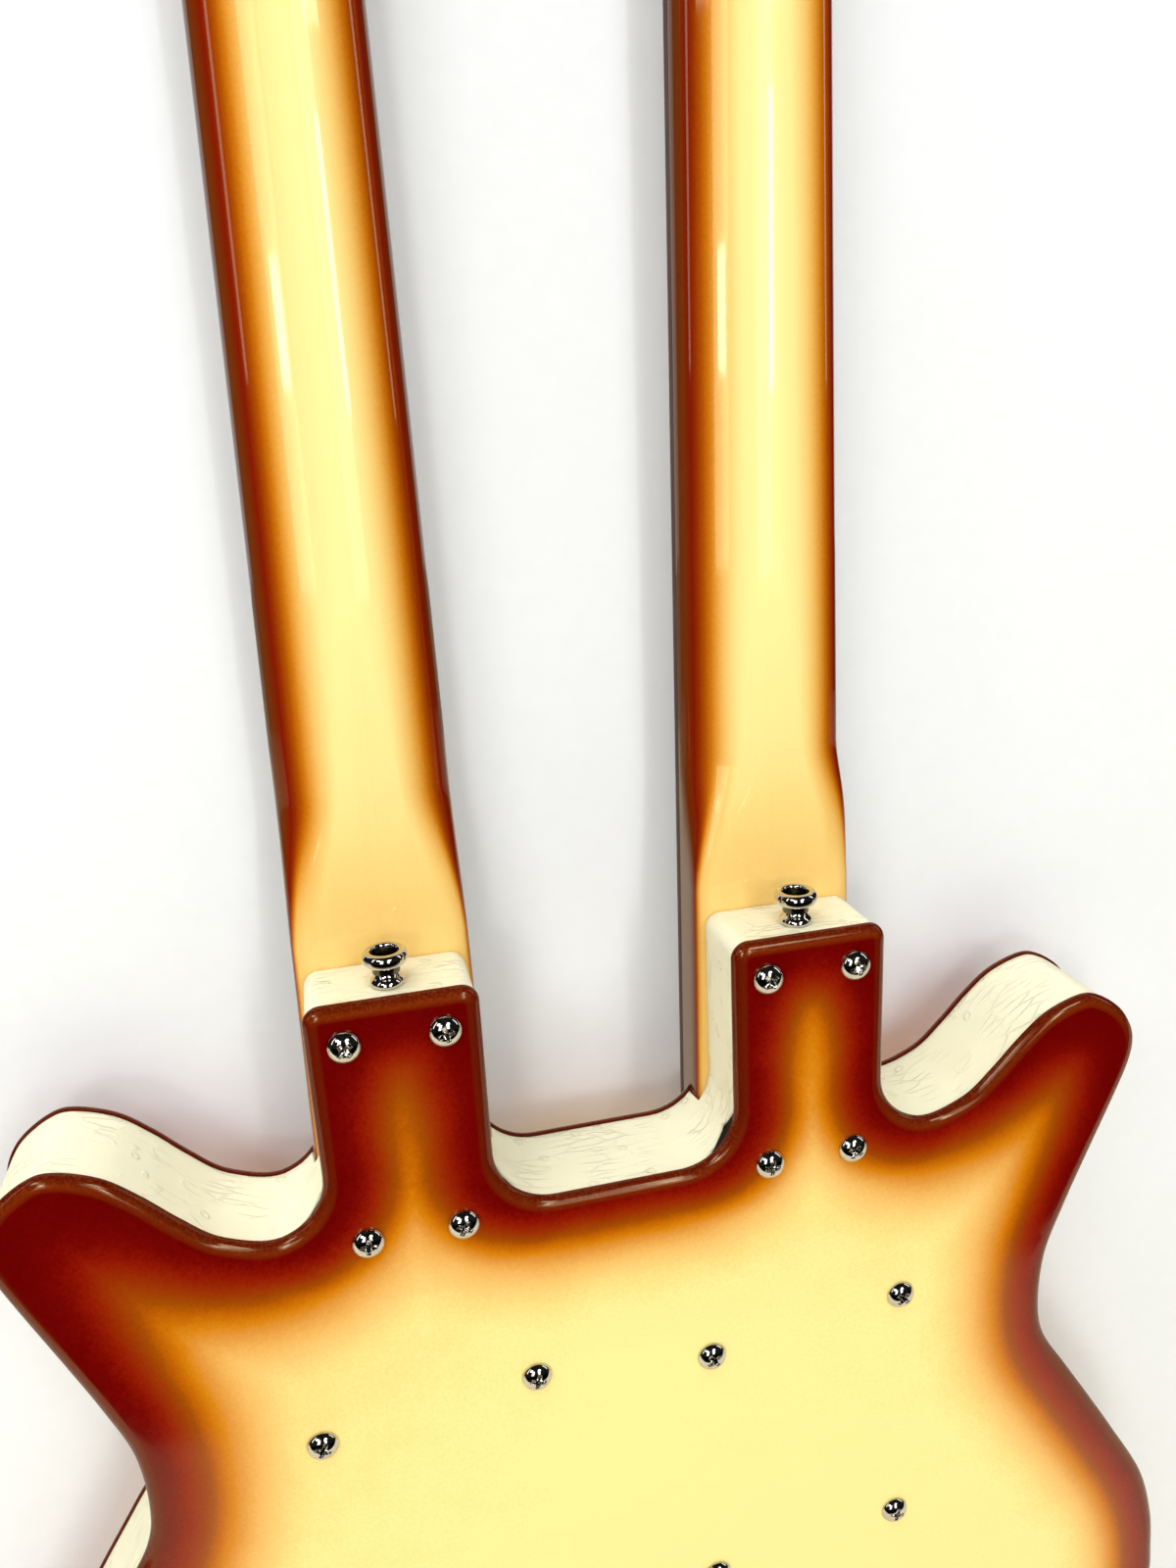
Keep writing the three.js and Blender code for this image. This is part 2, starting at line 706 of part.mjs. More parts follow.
function tunerStrip(neck) {
  const frame = tunerFrame(neck);
  const low = headBack + fit;
  const centre = frame.start.clone().add(frame.end).multiplyScalar(0.5);
  const length = frame.start.distanceTo(frame.end) + tunerBoxWidth + tunerBoxReach;
  const width = tunerBoxWidth + tunerBoxReach / 2;
  const strip = new THREE.BoxGeometry(width, length, tunerSheet).rotateZ(frame.angle);
  const parts = [solid(strip.translate(centre.x, centre.y, low + tunerSheet / 2))];
  const holes = [];
  for (const post of frame.posts) {
    const box = new THREE.BoxGeometry(2 * tunerBoxReach, tunerBoxWidth, tunerBox).rotateZ(frame.angle);
    parts.push(solid(box.translate(post.x, post.y, low + tunerBox / 2)));
    holes.push(rod(post.x, post.y, low - overrun, low + tunerBox / 3, postDiameter + 3 * fit, 8));
    const bore = new THREE.CylinderGeometry(tunerShaft / 2 + fit, tunerShaft / 2 + fit, 2 * tunerBoxReach, 6);
    bore.rotateZ(Math.PI / 2).translate(tunerBoxReach + fit, 0, 0).rotateZ(frame.angle);
    holes.push(solid(bore.translate(post.x, post.y, tunerAxis())));
  }
  return cut(join(parts), holes);
}

function tunerAxis() {
  return headBack + fit + tunerBox / 3 + fit + (tunerBox * 2 / 3 - fit) / 2;
}

function tunerPost(post) {
  const radius = postDiameter / 2;
  const [low, high] = [boardSeat - postRise, headBack + fit + tunerBox / 3 - fit];
  const profile = [
    [0, low], [radius, low], [radius * 0.8, low + postRise * 0.4], [radius, low + postRise * 0.7],
    [radius, high], [0, high],
  ];
  const body = new THREE.LatheGeometry(profile.map(([r, z]) => new THREE.Vector2(r, z)), 8);
  return solid(body.rotateX(Math.PI / 2).translate(post.x, post.y, 0));
}

// Tuner button: a flat oval on the end of the worm's shaft
function tunerButton(post, angle) {
  const reach = tunerReach + buttonLength;
  const shaft = new THREE.CylinderGeometry(tunerShaft / 2, tunerShaft / 2, reach - fit * 2, 6);
  shaft.rotateZ(Math.PI / 2).translate((reach + fit * 2) / 2, 0, 0);
  const oval = new THREE.Shape();
  oval.absellipse(0, 0, buttonLength / 2, buttonWidth / 2, 0, 2 * Math.PI);
  const bevel = buttonThickness / 4;
  const grip = new THREE.ExtrudeGeometry(oval, {
    depth: buttonThickness - 2 * bevel,
    bevelThickness: bevel,
    bevelSize: bevel,
    bevelSegments: 1,
    curveSegments: 5,
  });
  grip.translate(reach, 0, bevel - buttonThickness / 2);
  const body = solid(shaft).add(solid(grip));
  const turn = [0, 0, angle * 180 / Math.PI];
  return body.rotate(turn).translate([post.x, post.y, tunerAxis()]);
}

function knob([x, y]) {
  const seat = frontFace - fit;
  const radius = knobDiameter / 2;
  const deep = coreFront - fit + potHeight - panelThickness - fit;
  const profile = [
    [0, seat - knobHeight], [radius * 0.7, seat - knobHeight], [radius * 0.78, seat - knobHeight * 0.94],
    [radius * 0.86, seat - knobHeight * 0.3], [radius, seat - knobHeight * 0.2], [radius, seat],
    [knobShaft / 2, seat], [knobShaft / 2, deep], [0, deep],
  ];
  const body = new THREE.LatheGeometry(profile.map(([r, z]) => new THREE.Vector2(r, z)), 14);
  return solid(body.rotateX(Math.PI / 2).translate(x, y, 0));
}

// Lever with a ball that turns in the bush; the ball's centre is level with the panel's inner side
function lever([x, y]) {
  const pivot = coreFront - fit;
  const top = frontFace - bushHeight - leverLength;
  const [radius, stem, ball] = [leverDiameter, leverStem, leverBall].map((d) => d / 2);
  const profile = [
    [0, top], [radius * 0.75, top + radius * 0.4], [radius, top + radius * 1.6],
    [stem, frontFace - bushHeight - stem], [stem, pivot - ball * 0.92],
    [ball * 0.87, pivot - ball * 0.5], [ball, pivot], [ball * 0.87, pivot + ball * 0.5], [0, pivot + ball],
  ];
  const body = new THREE.LatheGeometry(profile.map(([r, z]) => new THREE.Vector2(r, z)), 10);
  return solid(body.rotateX(Math.PI / 2).translate(x, y, 0));
}

function jack([x, y]) {
  const seat = frontFace - fit;
  const deep = frontFace + jackDepth;
  const bush = rod(x, y, seat - jackNutHeight, deep, jackBush);
  const ring = rod(x, y, seat - jackNutHeight / 2, seat, jackNut, 6);
  const bore = rod(x, y, seat - jackNutHeight - overrun, deep - panelThickness, jackBore);
  return bush.add(ring).subtract(bore);
}

// The body
place('back_panel', backPanel(), sunburst);
place('front_panel', frontPanel(), sunburst);
place('core_frame', coreFrame(), poplar);
place('edge_tape', edgeTape(), vinyl);

// The necks, with everything that each one carries
for (const neck of necks) {
  place(`neck_${neck.name}`, neckBody(neck), lacquered);
  place(`fingerboard_${neck.name}`, fingerboard(neck), rosewood);
  place(`nut_${neck.name}`, nut(neck), bone);
  place(`bridge_${neck.name}`, bridge(neck), nickel);
  place(`saddle_${neck.name}`, saddle(neck), rosewood);
  const frame = tunerFrame(neck);
  place(`tuner_strip_${neck.name}`, tunerStrip(neck), nickel);
  frame.posts.forEach((post, index) => {
    place(`tuner_post_${neck.name}_${index + 1}`, tunerPost(post), nickel);
    place(`tuner_button_${neck.name}_${index + 1}`, tunerButton(post, frame.angle), cream);
  });
  screwPlaces(neck).forEach(([x, y], index) => {
    place(`neck_screw_${neck.name}_${index + 1}`, backScrew(x, y, screwShank, heelBack - screwBite), chrome);
  });
}
for (const one of pickups) {
  place(one.name, pickup(one), chrome);
}

// Strap buttons on both tongues and at the tail
for (const neck of necks) {
  const button = place(`strap_button_${neck.name}`, strapButton(), chrome);
  button.position.set(neck.x, fit, strapTowardBack);
  button.rotation.x = -Math.PI / 2;
}
const tailButton = place('strap_button_tail', strapButton(), chrome);
tailButton.position.set(0, -bodyLength - fit, 0);
tailButton.rotation.x = Math.PI / 2;

// Controls and the output jack
place('volume_knob', knob(controls.volume), cream);
place('tone_knob', knob(controls.tone), cream);
place('neck_switch', lever(controls.neckSwitch), nickel);
place('pickup_switch', lever(controls.pickupSwitch), nickel);
place('output_jack', jack(controls.jack), nickel);

guitar.rotation.x = Math.PI / 2;

export default guitar;
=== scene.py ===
"""Looks of a double-neck electric guitar seen from the back: sunburst panels, cream edge tape, two
glossy necks, domed screws and strap buttons. Shapes are worked out in millimetres and their meshes
are in metres. +Z runs up the necks, the back faces -Y and the strings lie on the +Y side."""
import json
import math

import bmesh
import bpy
import numpy as np
from mathutils import Matrix, Vector
from mathutils.geometry import delaunay_2d_cdt


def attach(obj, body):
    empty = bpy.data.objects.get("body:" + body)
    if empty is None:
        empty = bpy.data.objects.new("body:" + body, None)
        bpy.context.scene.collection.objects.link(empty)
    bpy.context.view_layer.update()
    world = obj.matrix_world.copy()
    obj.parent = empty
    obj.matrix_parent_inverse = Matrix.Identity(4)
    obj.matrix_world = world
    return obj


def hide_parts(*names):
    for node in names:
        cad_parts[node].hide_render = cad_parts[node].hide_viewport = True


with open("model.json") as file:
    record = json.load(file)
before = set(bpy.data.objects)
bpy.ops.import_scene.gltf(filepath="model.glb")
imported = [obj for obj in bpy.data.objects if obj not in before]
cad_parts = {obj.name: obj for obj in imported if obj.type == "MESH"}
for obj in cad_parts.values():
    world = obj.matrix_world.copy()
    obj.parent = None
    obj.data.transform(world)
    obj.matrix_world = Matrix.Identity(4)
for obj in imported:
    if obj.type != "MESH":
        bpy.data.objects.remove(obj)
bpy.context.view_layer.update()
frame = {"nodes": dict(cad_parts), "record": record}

# Levels along Y, from the back panel's face to the strings
BACK_FACE = -16.75
CORE_BACK = -13.25
HEAD_BACK = 14.95
SEAT = 13.25
CORE_FRONT = 21.55
FRONT_FACE = 25.05
HEAD_FACE = 27.35
BOARD_SEAT = 29.95
BOARD_TOP = 36.05
FRET_TOP = 37.15
STRING_AT_POST = 37.45
PANEL = 3.2
FIT = 0.3
FORWARD = (0, 1, 0)

# Plan of the body
HALF_WIDTH = 218
LENGTH = 435
NECK_X = 65.5
TONGUE_HALF = 25.1
TONGUE_CORNER = 4.8
TROUGH = 77.3
INNER_CORNER = 19.8
OUTER_CORNER = 19.5
OUTER_DROP = 2.6
OVERHANG = 0.8
RIM = 3.1
RIM_WIDTH = 4.6
SPRAY_DEPTH = 50
TAPE_THICK = 0.9
TAPE_OPENING = 6.5
SIDE_SHARES = np.array([
    [0, -1], [0.2, -0.9965], [0.404, -0.985], [0.596, -0.9645], [0.757, -0.933], [0.872, -0.892],
    [0.945, -0.839], [0.986, -0.782], [1, -0.72], [0.997, -0.685], [0.987, -0.642], [0.956, -0.591],
    [0.887, -0.532], [0.835, -0.49], [0.782, -0.4485], [0.731, -0.407], [0.716, -0.37], [0.722, -0.322],
    [0.7505, -0.279], [0.7845, -0.2365], [0.827, -0.1855], [0.8495, -0.156], [0.8565, -0.137],
    [0.8505, -0.122], [0.829, -0.1055], [0.791, -0.092], [0.7575, -0.089], [0.702, -0.099],
    [0.658, -0.117], [0.614, -0.1395], [0.568, -0.1595],
])

# Necks
SCREW_CENTRE = -45.2
HEEL_END = SCREW_CENTRE - 64
HEEL_TOP = SCREW_CENTRE + 52
HEEL_BLEND = 46
HEEL_WIDTH = 57.4
HEEL_THICK = 16.4
SHAFT_THICK = 15
NUT_THICK = 14.2
HEEL_POWER = 9
SHAFT_POWER = 2.25
SIDE_RUN = 30
NUT_LENGTH = 4.8
BOARD_RADIUS = 355
BOARD_EDGE = 1.2
BOARD_END = HEEL_END - 12
SADDLE = SCREW_CENTRE - 250
STRING_AT_SADDLE = 40.95
STRING_SPREAD = 52
NECKS = {
    "lower": {
        "x": -NECK_X, "scale": 635, "nut_width": 44.6, "frets": 21, "lean": 0, "dark_sides": (0, 2.3),
        "gauges": (1.17, 0.91, 0.66, 0.43, 0.33, 0.25),
    },
    "upper": {
        "x": NECK_X, "scale": 755.65, "nut_width": 41.2, "frets": 24, "lean": 6, "dark_sides": (2.2, -1.0),
        "gauges": (1.73, 1.42, 1.12, 0.81, 0.61, 0.36),
    },
}
for one in NECKS.values():
    one["nut"] = SADDLE + one["scale"]

# Headstocks and tuners
HEAD_WIDTH = 74
HEAD_LENGTH = 176
HEAD_BLEND = 42
HEAD_SHARES = np.array([
    [-0.27, -0.02], [-0.29, 0], [-0.31, 0.08], [-0.36, 0.2], [-0.43, 0.42], [-0.5, 0.68], [-0.545, 0.86],
    [-0.53, 0.95], [-0.47, 0.995], [-0.38, 0.99], [-0.28, 0.97], [-0.17, 0.965], [-0.09, 0.96],
    [-0.045, 0.925], [0.446, 0.227], [0.478, 0.165], [0.465, 0.115], [0.4, 0.065], [0.33, 0.03],
    [0.28, -0.02],
])
POST_RADIUS = 3
POST_FIRST = 40
POST_STEP = 24.6
TUNER_AXIS = 9.167
TUNER_PLATE = 1.2
GEAR_BOX = 8
WINDING_TURNS = 3.25
GRIP_HALVES = (7.3, 9.8, 3.0)

# Pickups, bridges, screws and controls
PICKUP_TILT = math.radians(6.4)
PICKUP_LENGTH = 84
PICKUP_RADIUS = 8
PICKUP_LEVEL = 26.05
PICKUP_SCREWS = 70.8
PICKUP_SHIFT = -1.4
PICKUP_FIRST = SCREW_CENTRE - 101
PICKUP_STEP = 97.4
BRIDGE_LOW = SADDLE - 35.8
BRIDGE_TOP = 33.35
BRIDGE_HALF = 37
BRIDGE_LENGTH = 44
BRIDGE_UNDER = 25.35
SCREW_RADIUS = 5.2
SCREW_DOME = 3.1
NECK_SCREW_ACROSS = 14.75
NECK_SCREW_UP = 33.5
STRAP_DEPTH = -3.7
STRAP_BORE_FLOOR = 4.1
KNOB_HEIGHT = 14
CONTROL_HOLE = 4.9
CONTROLS = {
    "volume_knob": (-132.35, -269.7), "tone_knob": (-132.35, -308.85), "pickup_switch": (-132.35, -348.0),
    "neck_switch": (-170.16, -289.275), "output_jack": (-170.16, -328.425),
}


# Camera: the photograph's place and angle, 27 mm lens on a frame 36 mm high

def make_camera():
    right = Vector((0.97078128, -0.23424546, -0.05208432))
    up = Vector((0.11581987, 0.26728475, 0.95663191))
    data = bpy.data.cameras.new("camera")
    data.lens = 27
    data.sensor_width = 36
    data.clip_start = 0.01
    camera = bpy.data.objects.new("camera", data)
    bpy.context.collection.objects.link(camera)
    turn = Matrix((right, up, right.cross(up))).transposed().to_4x4()
    camera.matrix_world = Matrix.Translation((-0.0743764, -0.331488, 0.1551659)) @ turn
    bpy.context.scene.camera = camera


make_camera()


# Mesh making

def piece(name, node, slot, shells, finish=None, body="body", crease=35, shares=None):
    """Mesh object from closed shells, each a pair of points in millimetres and faces. It takes a
    node's place, rides on a body, and has a finish in one of the record's slots. Edges that turn by
    more than the crease angle stay sharp. Shares are values per point that the finish reads."""
    points, faces = joined(shells)
    mesh = bpy.data.meshes.new(name)
    mesh.from_pydata((points * 0.001).tolist(), [], faces)
    for label, values in (shares or {}).items():
        attribute = mesh.attributes.new(label, "FLOAT", "POINT")
        attribute.data.foreach_set("value", np.asarray(values, np.float32).ravel())
    shape = bmesh.new()
    shape.from_mesh(mesh)
    bmesh.ops.recalc_face_normals(shape, faces=shape.faces)
    shape.to_mesh(mesh)
    shape.free()
    mesh.polygons.foreach_set("use_smooth", np.ones(len(mesh.polygons), bool))
    mesh.set_sharp_from_angle(angle=math.radians(crease))
    mesh.materials.append(finish or FINISHES[slot])
    made = bpy.data.objects.new(name, mesh)
    bpy.context.collection.objects.link(made)
    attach(made, body)
    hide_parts(node)


def joined(shells):
    """Several pairs of points and faces as one pair, with the corner numbers moved on."""
    points, faces, start = [], [], 0
    for some_points, some_faces in shells:
        flat = np.asarray(some_points, float).reshape(-1, 3)
        points.append(flat)
        faces += [[start + corner for corner in face] for face in some_faces]
        start += len(flat)
    return np.vstack(points), faces


def quads(rows, columns, closed=True):
    """Corner numbers of the quads between neighbouring rows of a grid of points."""
    last = columns if closed else columns - 1
    row, column = np.meshgrid(np.arange(rows - 1), np.arange(last), indexing="ij")
    a = row * columns + column
    b = row * columns + (column + 1) % columns
    return np.stack([a, b, b + columns, a + columns], -1).reshape(-1, 4).tolist()


def skin(rings):
    """Closed shell over rings of equally many points, with a flat cap on the first and the last."""
    rings = np.asarray(rings, float)
    rows, columns = rings.shape[:2]
    caps = [list(range(columns))[::-1], list(range((rows - 1) * columns, rows * columns))]
    return rings.reshape(-1, 3), quads(rows, columns) + caps


def looped(rings):
    """Closed shell over rings that come back to the first one, such as a wall or a hoop."""
    rings = np.asarray(rings, float)
    rows, columns = rings.shape[:2]
    around = np.arange(columns)
    after = (around + 1) % columns
    end = (rows - 1) * columns
    closing = np.stack([end + around, end + after, after, around], -1).tolist()
    return rings.reshape(-1, 3), quads(rows, columns) + closing


def poled(grid):
    """Closed shell over a grid of rings whose first and last ring each shrink to one point."""
    rows, sides = grid.shape[0] - 2, grid.shape[1]
    inner = grid[1:-1].reshape(-1, 3)
    around = np.arange(sides)
    after = (around + 1) % sides
    end = (rows - 1) * sides
    faces = quads(rows, sides)
    faces += np.stack([np.full(sides, len(inner)), after, around], -1).tolist()
    faces += np.stack([np.full(sides, len(inner) + 1), end + around, end + after], -1).tolist()
    return np.vstack([inner, grid[0].mean(0), grid[-1].mean(0)]), faces


def spun(profile, sides, origin, axis, flutes=0, depth=0.0):
    """Each (radius, height) of a profile goes round the axis: a point is origin + height * axis +
    radius * (cos a * u + sin a * v), with the radius lessened by depth * (1 - cos(flutes * a)) / 2."""
    axis = np.asarray(axis, float) / np.linalg.norm(axis)
    u = np.cross(axis, (0.0, 0.0, 1.0) if abs(axis[2]) < 0.9 else (1.0, 0.0, 0.0))
    u /= np.linalg.norm(u)
    v = np.cross(axis, u)
    angle = np.linspace(0, 2 * np.pi, sides, endpoint=False)
    ring = np.cos(angle)[:, None] * u + np.sin(angle)[:, None] * v
    radius, height = np.asarray(profile, float).T
    spread = radius[:, None] - depth * (1 - np.cos(flutes * angle)) / 2 * (radius[:, None] > 5)
    return np.asarray(origin) + height[:, None, None] * axis + spread[..., None] * ring


def turned(profile, sides, origin, axis, flutes=0, depth=0.0):
    """Surface of revolution whose profile starts and ends on the axis."""
    return poled(spun(profile, sides, origin, axis, flutes, depth))


def tube(path, radius, sides=10, upright=(0.0, 1.0, 0.0)):
    """Round section carried along a path: at each place the ring lies square to the mean direction of
    the two spans that meet there, and both ends are closed."""
    path = np.asarray(path, float)
    along = np.gradient(path, axis=0)
    along /= np.linalg.norm(along, axis=1, keepdims=True)
    side = np.cross(along, upright)
    side /= np.linalg.norm(side, axis=1, keepdims=True)
    other = np.cross(along, side)
    angle = np.linspace(0, 2 * np.pi, sides, endpoint=False)[None, :, None]
    return skin(path[:, None] + radius * (np.cos(angle) * side[:, None] + np.sin(angle) * other[:, None]))


def bar(profile, start, end, bevel):
    """Straight bar along X: a profile of (y, z) carried from start to end, a little smaller at both."""
    centre = profile.mean(0)
    shrunk = profile + (centre - profile) * bevel / np.maximum(np.abs(profile - centre).max(0), bevel)
    rings = []
    for x, loop in ((start, shrunk), (start + bevel, profile), (end - bevel, profile), (end, shrunk)):
        rings.append(np.column_stack([np.full(len(loop), x), loop]))
    return skin(rings)


def softened(points, radius, steps=5, closed=True):
    """Polyline whose corners are rounded: each corner is a parabola between the two places that lie a
    radius away from it along its edges."""
    p = np.asarray(points, float)
    back, ahead = np.roll(p, 1, 0) - p, np.roll(p, -1, 0) - p
    back_size, ahead_size = (np.linalg.norm(v, axis=1, keepdims=True) for v in (back, ahead))
    reach = np.asarray(radius, float).reshape(-1, 1)
    a = p + back / back_size * np.minimum(reach, back_size * 0.49)
    b = p + ahead / ahead_size * np.minimum(reach, ahead_size * 0.49)
    t = np.linspace(0, 1, steps + 1)[None, :, None]
    corners = (1 - t)**2 * a[:, None] + 2 * t * (1 - t) * p[:, None] + t**2 * b[:, None]
    if closed:
        return corners.reshape(-1, p.shape[1])
    return np.vstack([p[:1], corners[1:-1].reshape(-1, p.shape[1]), p[-1:]])


def smooth_curve(points, per_span):
    """Smooth curve through the points: each span is a cubic whose end slopes are half the chord
    between the neighbours of its two points."""
    p = np.asarray(points, float)
    p = np.vstack([2 * p[:1] - p[1:2], p, 2 * p[-1:] - p[-2:-1]])
    t = np.linspace(0, 1, per_span, endpoint=False)[None, :, None]
    a, b, c, d = (p[i:len(p) - 3 + i, None] for i in range(4))
    v, w = (c - a) / 2, (d - b) / 2
    spans = (2 * b - 2 * c + v + w) * t**3 + (3 * c - 3 * b - 2 * v - w) * t**2 + v * t + b
    return np.vstack([spans.reshape(-1, p.shape[1]), p[-2:-1]])


def easing(before, after, steps):
    """Curve from the last point of one edge to the first point of the next: a cubic whose end slopes
    follow the two edges, each as long as the gap between them."""
    a, b = before[1], after[0]
    size = np.linalg.norm(b - a)
    v, w = (side * size / np.linalg.norm(side) for side in (before[1] - before[0], after[1] - after[0]))
    t = np.linspace(0, 1, steps + 1)[:, None]
    return (2 * a - 2 * b + v + w) * t**3 + (3 * b - 3 * a - 2 * v - w) * t**2 + v * t + a


def arc(x, y, radius, start, end, steps):
    """Points of a circle between two angles, in half turns."""
    angle = np.pi * np.linspace(start, end, steps)
    return np.stack([x + radius * np.cos(angle), y + radius * np.sin(angle)], -1)


def circle(x, y, radius, steps):
    return arc(x, y, radius, 0, 2, steps + 1)[:-1]


def even(loop, step):
    """Closed loop with extra points set along every edge longer than a step."""
    out = []
    for a, b in zip(loop, np.roll(loop, -1, 0)):
        parts = max(1, math.ceil(np.linalg.norm(b - a) / step))
        out.append(a + (b - a) * (np.arange(parts) / parts)[:, None])
    return np.vstack(out)


def inset(loop, depth):
    """Closed anticlockwise loop moved inward, each point along the mean normal of its two edges."""
    ahead = np.roll(loop, -1, 0) - loop
    ahead /= np.linalg.norm(ahead, axis=1, keepdims=True)
    along = ahead + np.roll(ahead, 1, 0)
    along /= np.linalg.norm(along, axis=1, keepdims=True)
    stretch = 1 / np.maximum((along * ahead).sum(1, keepdims=True), 0.7)
    return loop + depth * stretch * along[:, ::-1] * [-1, 1]


def in_parts(test, points):
    """A test's values at many points, worked out some 2000 points at a time to spare memory."""
    return np.concatenate([test(some) for some in np.array_split(points, max(1, len(points) // 2000))])


def edge_distance(points, loop):
    """Distance from each point to the nearest edge of a closed loop."""
    edge = np.roll(loop, -1, 0) - loop
    size = (edge**2).sum(1)

    def nearest(some):
        gap = some[:, None] - loop
        share = np.clip((gap * edge).sum(2) / size, 0, 1)
        return np.sqrt(((gap - share[..., None] * edge)**2).sum(2).min(1))

    return in_parts(nearest, points)


def within(points, loop):
    """True where a point lies inside a closed loop, by counting the edges crossed to its right."""
    a, b = loop, np.roll(loop, -1, 0)
    rise = np.where(b[:, 1] == a[:, 1], 1e-9, b[:, 1] - a[:, 1])

    def inside(some):
        x, y = some[:, :1], some[:, 1:]
        spans = (a[:, 1] > y) != (b[:, 1] > y)
        cross = a[:, 0] + (y - a[:, 1]) * (b[:, 0] - a[:, 0]) / rise
        return (spans & (x < cross)).sum(1) % 2 == 1

    return in_parts(inside, points)


def rim_drop(away, rim, fall=None):
    """Fall of a rounded rim at a distance from the edge: fall * (1 - sqrt(1 - (1 - away / rim)^2)), a
    quarter circle where the fall is the rim's width."""
    short = np.clip(1 - away / rim, 0, 1)
    return (fall or rim) * (1 - np.sqrt(1 - short**2))


def sheet(loop, holes, face, under, spacing, rim, under_rim=0.0, fall=None):
    """Closed sheet over a plan loop of (x, z) less its holes. Its two sides lie level along Y but for
    a rim that falls as a quarter circle or oval towards the loop, and walls join them at every open
    edge. The face's points come first, then the under side's."""
    widest = max(rim, under_rim)
    rings = [inset(loop, widest * share) for share in (0, 0.015, 0.05, 0.11, 0.2, 0.31, 0.45, 0.61, 0.79, 1)]
    low, high = loop.min(0), loop.max(0)
    x, z = np.meshgrid(np.arange(low[0], high[0], spacing), np.arange(low[1], high[1], spacing))
    x[1::2] += spacing / 2
    field = np.stack([x, z], -1).reshape(-1, 2)
    field = field[within(field, loop)]
    if len(field):
        field = field[edge_distance(field, loop) > widest + spacing / 2]
    for hole in holes:
        field = field[edge_distance(field, hole) > spacing / 3]
    loops = rings + holes
    edges, start = [], 0
    for closed in loops:
        edges += [(start + i, start + (i + 1) % len(closed)) for i in range(len(closed))]
        start += len(closed)
    made = delaunay_2d_cdt([Vector(p) for p in np.vstack(loops + [field])], edges, [], 1, 1e-4)
    flat = np.array([tuple(v) for v in made[0]])
    corners = np.array(made[2])
    centres = flat[corners].mean(1)
    keep = within(centres, loop)
    for hole in holes:
        keep &= ~within(centres, hole)
    used, corners = np.unique(corners[keep], return_inverse=True)
    flat, corners = flat[used], corners.reshape(-1, 3)
    away = edge_distance(flat, loop)
    out = np.sign(face - under)
    count = len(flat)
    top = np.stack([flat[:, 0], face - out * rim_drop(away, rim, fall), flat[:, 1]], -1)
    lift = rim_drop(away, under_rim) if under_rim else np.zeros(count)
    bottom = np.stack([flat[:, 0], under + out * lift, flat[:, 1]], -1)
    pairs = np.vstack([corners[:, [0, 1]], corners[:, [1, 2]], corners[:, [2, 0]]])
    known = {tuple(pair) for pair in pairs.tolist()}
    rims = np.array([pair for pair in known if (pair[1], pair[0]) not in known])
    walls = np.stack([rims[:, 1], rims[:, 0], rims[:, 0] + count, rims[:, 1] + count], -1)
    faces = corners.tolist() + (corners[:, ::-1] + count).tolist() + walls.tolist()
    return np.vstack([top, bottom]), faces


# Plan of the body and its spray

def body_outline():
    """Plan of the tape's surface, anticlockwise from the tail: the right half is a smooth curve round
    bout, waist and horn, then arcs round the cutaways and the tongue, and the left half mirrors it."""
    outer_x, outer_z = NECK_X + TONGUE_HALF + OUTER_CORNER, OUTER_DROP + OUTER_CORNER - TROUGH
    inner_x, inner_z = NECK_X - TONGUE_HALF - INNER_CORNER, INNER_CORNER - TROUGH
    side = np.vstack([SIDE_SHARES * [HALF_WIDTH, LENGTH], [[outer_x, outer_z - OUTER_CORNER]]])
    smooth = smooth_curve(np.vstack([side[1:2] * [-1, 1], side]), 7)[7:]
    trough = smooth[:-5]
    bend = arc(outer_x, outer_z, OUTER_CORNER, 1.5, 1, 14)[3:]
    right = np.vstack([
        trough,
        easing(trough[-2:], bend[:2], 8)[1:-1],
        bend,
        arc(NECK_X + TONGUE_HALF - TONGUE_CORNER, -TONGUE_CORNER, TONGUE_CORNER, 0, 0.5, 10),
        arc(NECK_X - TONGUE_HALF + TONGUE_CORNER, -TONGUE_CORNER, TONGUE_CORNER, 0.5, 1, 10),
        arc(inner_x, inner_z, INNER_CORNER, 2, 1.5, 14),
    ])
    left = right[:0:-1] * [-1, 1]
    return even(np.vstack([right, left]), 2.4)


outline = body_outline()
rim_loop = inset(outline, -OVERHANG)


def spray_grid(reach):
    """Grid over the body holding the share of body within reach of each place: the inside of the
    outline, 1 or 0, averaged by a bell curve along X and then along Z."""
    x = np.arange(-320.0, 320, 2)
    z = np.arange(-540.0, 110, 2)
    across, up = np.meshgrid(x, z, indexing="ij")
    inside = within(np.stack([across, up], -1).reshape(-1, 2), outline).reshape(across.shape).astype(float)
    bell = np.exp(-0.5 * (np.arange(-3 * reach, 3 * reach + 2, 2) / reach)**2)
    bell /= bell.sum()
    for axis in (0, 1):
        inside = np.apply_along_axis(np.convolve, axis, inside, bell, "same")
    return x, z, inside


def read_grid(grid, points):
    """Value of a grid at each (x, z), evened between its four neighbours."""
    x, z, values = grid
    i = np.clip((points[:, 0] - x[0]) / (x[1] - x[0]), 0, len(x) - 1.001)
    j = np.clip((points[:, 1] - z[0]) / (z[1] - z[0]), 0, len(z) - 1.001)
    a, b = i.astype(int), j.astype(int)
    s, t = i - a, j - b
    low = values[a, b] * (1 - t) + values[a, b + 1] * t
    high = values[a + 1, b] * (1 - t) + values[a + 1, b + 1] * t
    return low * (1 - s) + high * s


near_spray = spray_grid(18)


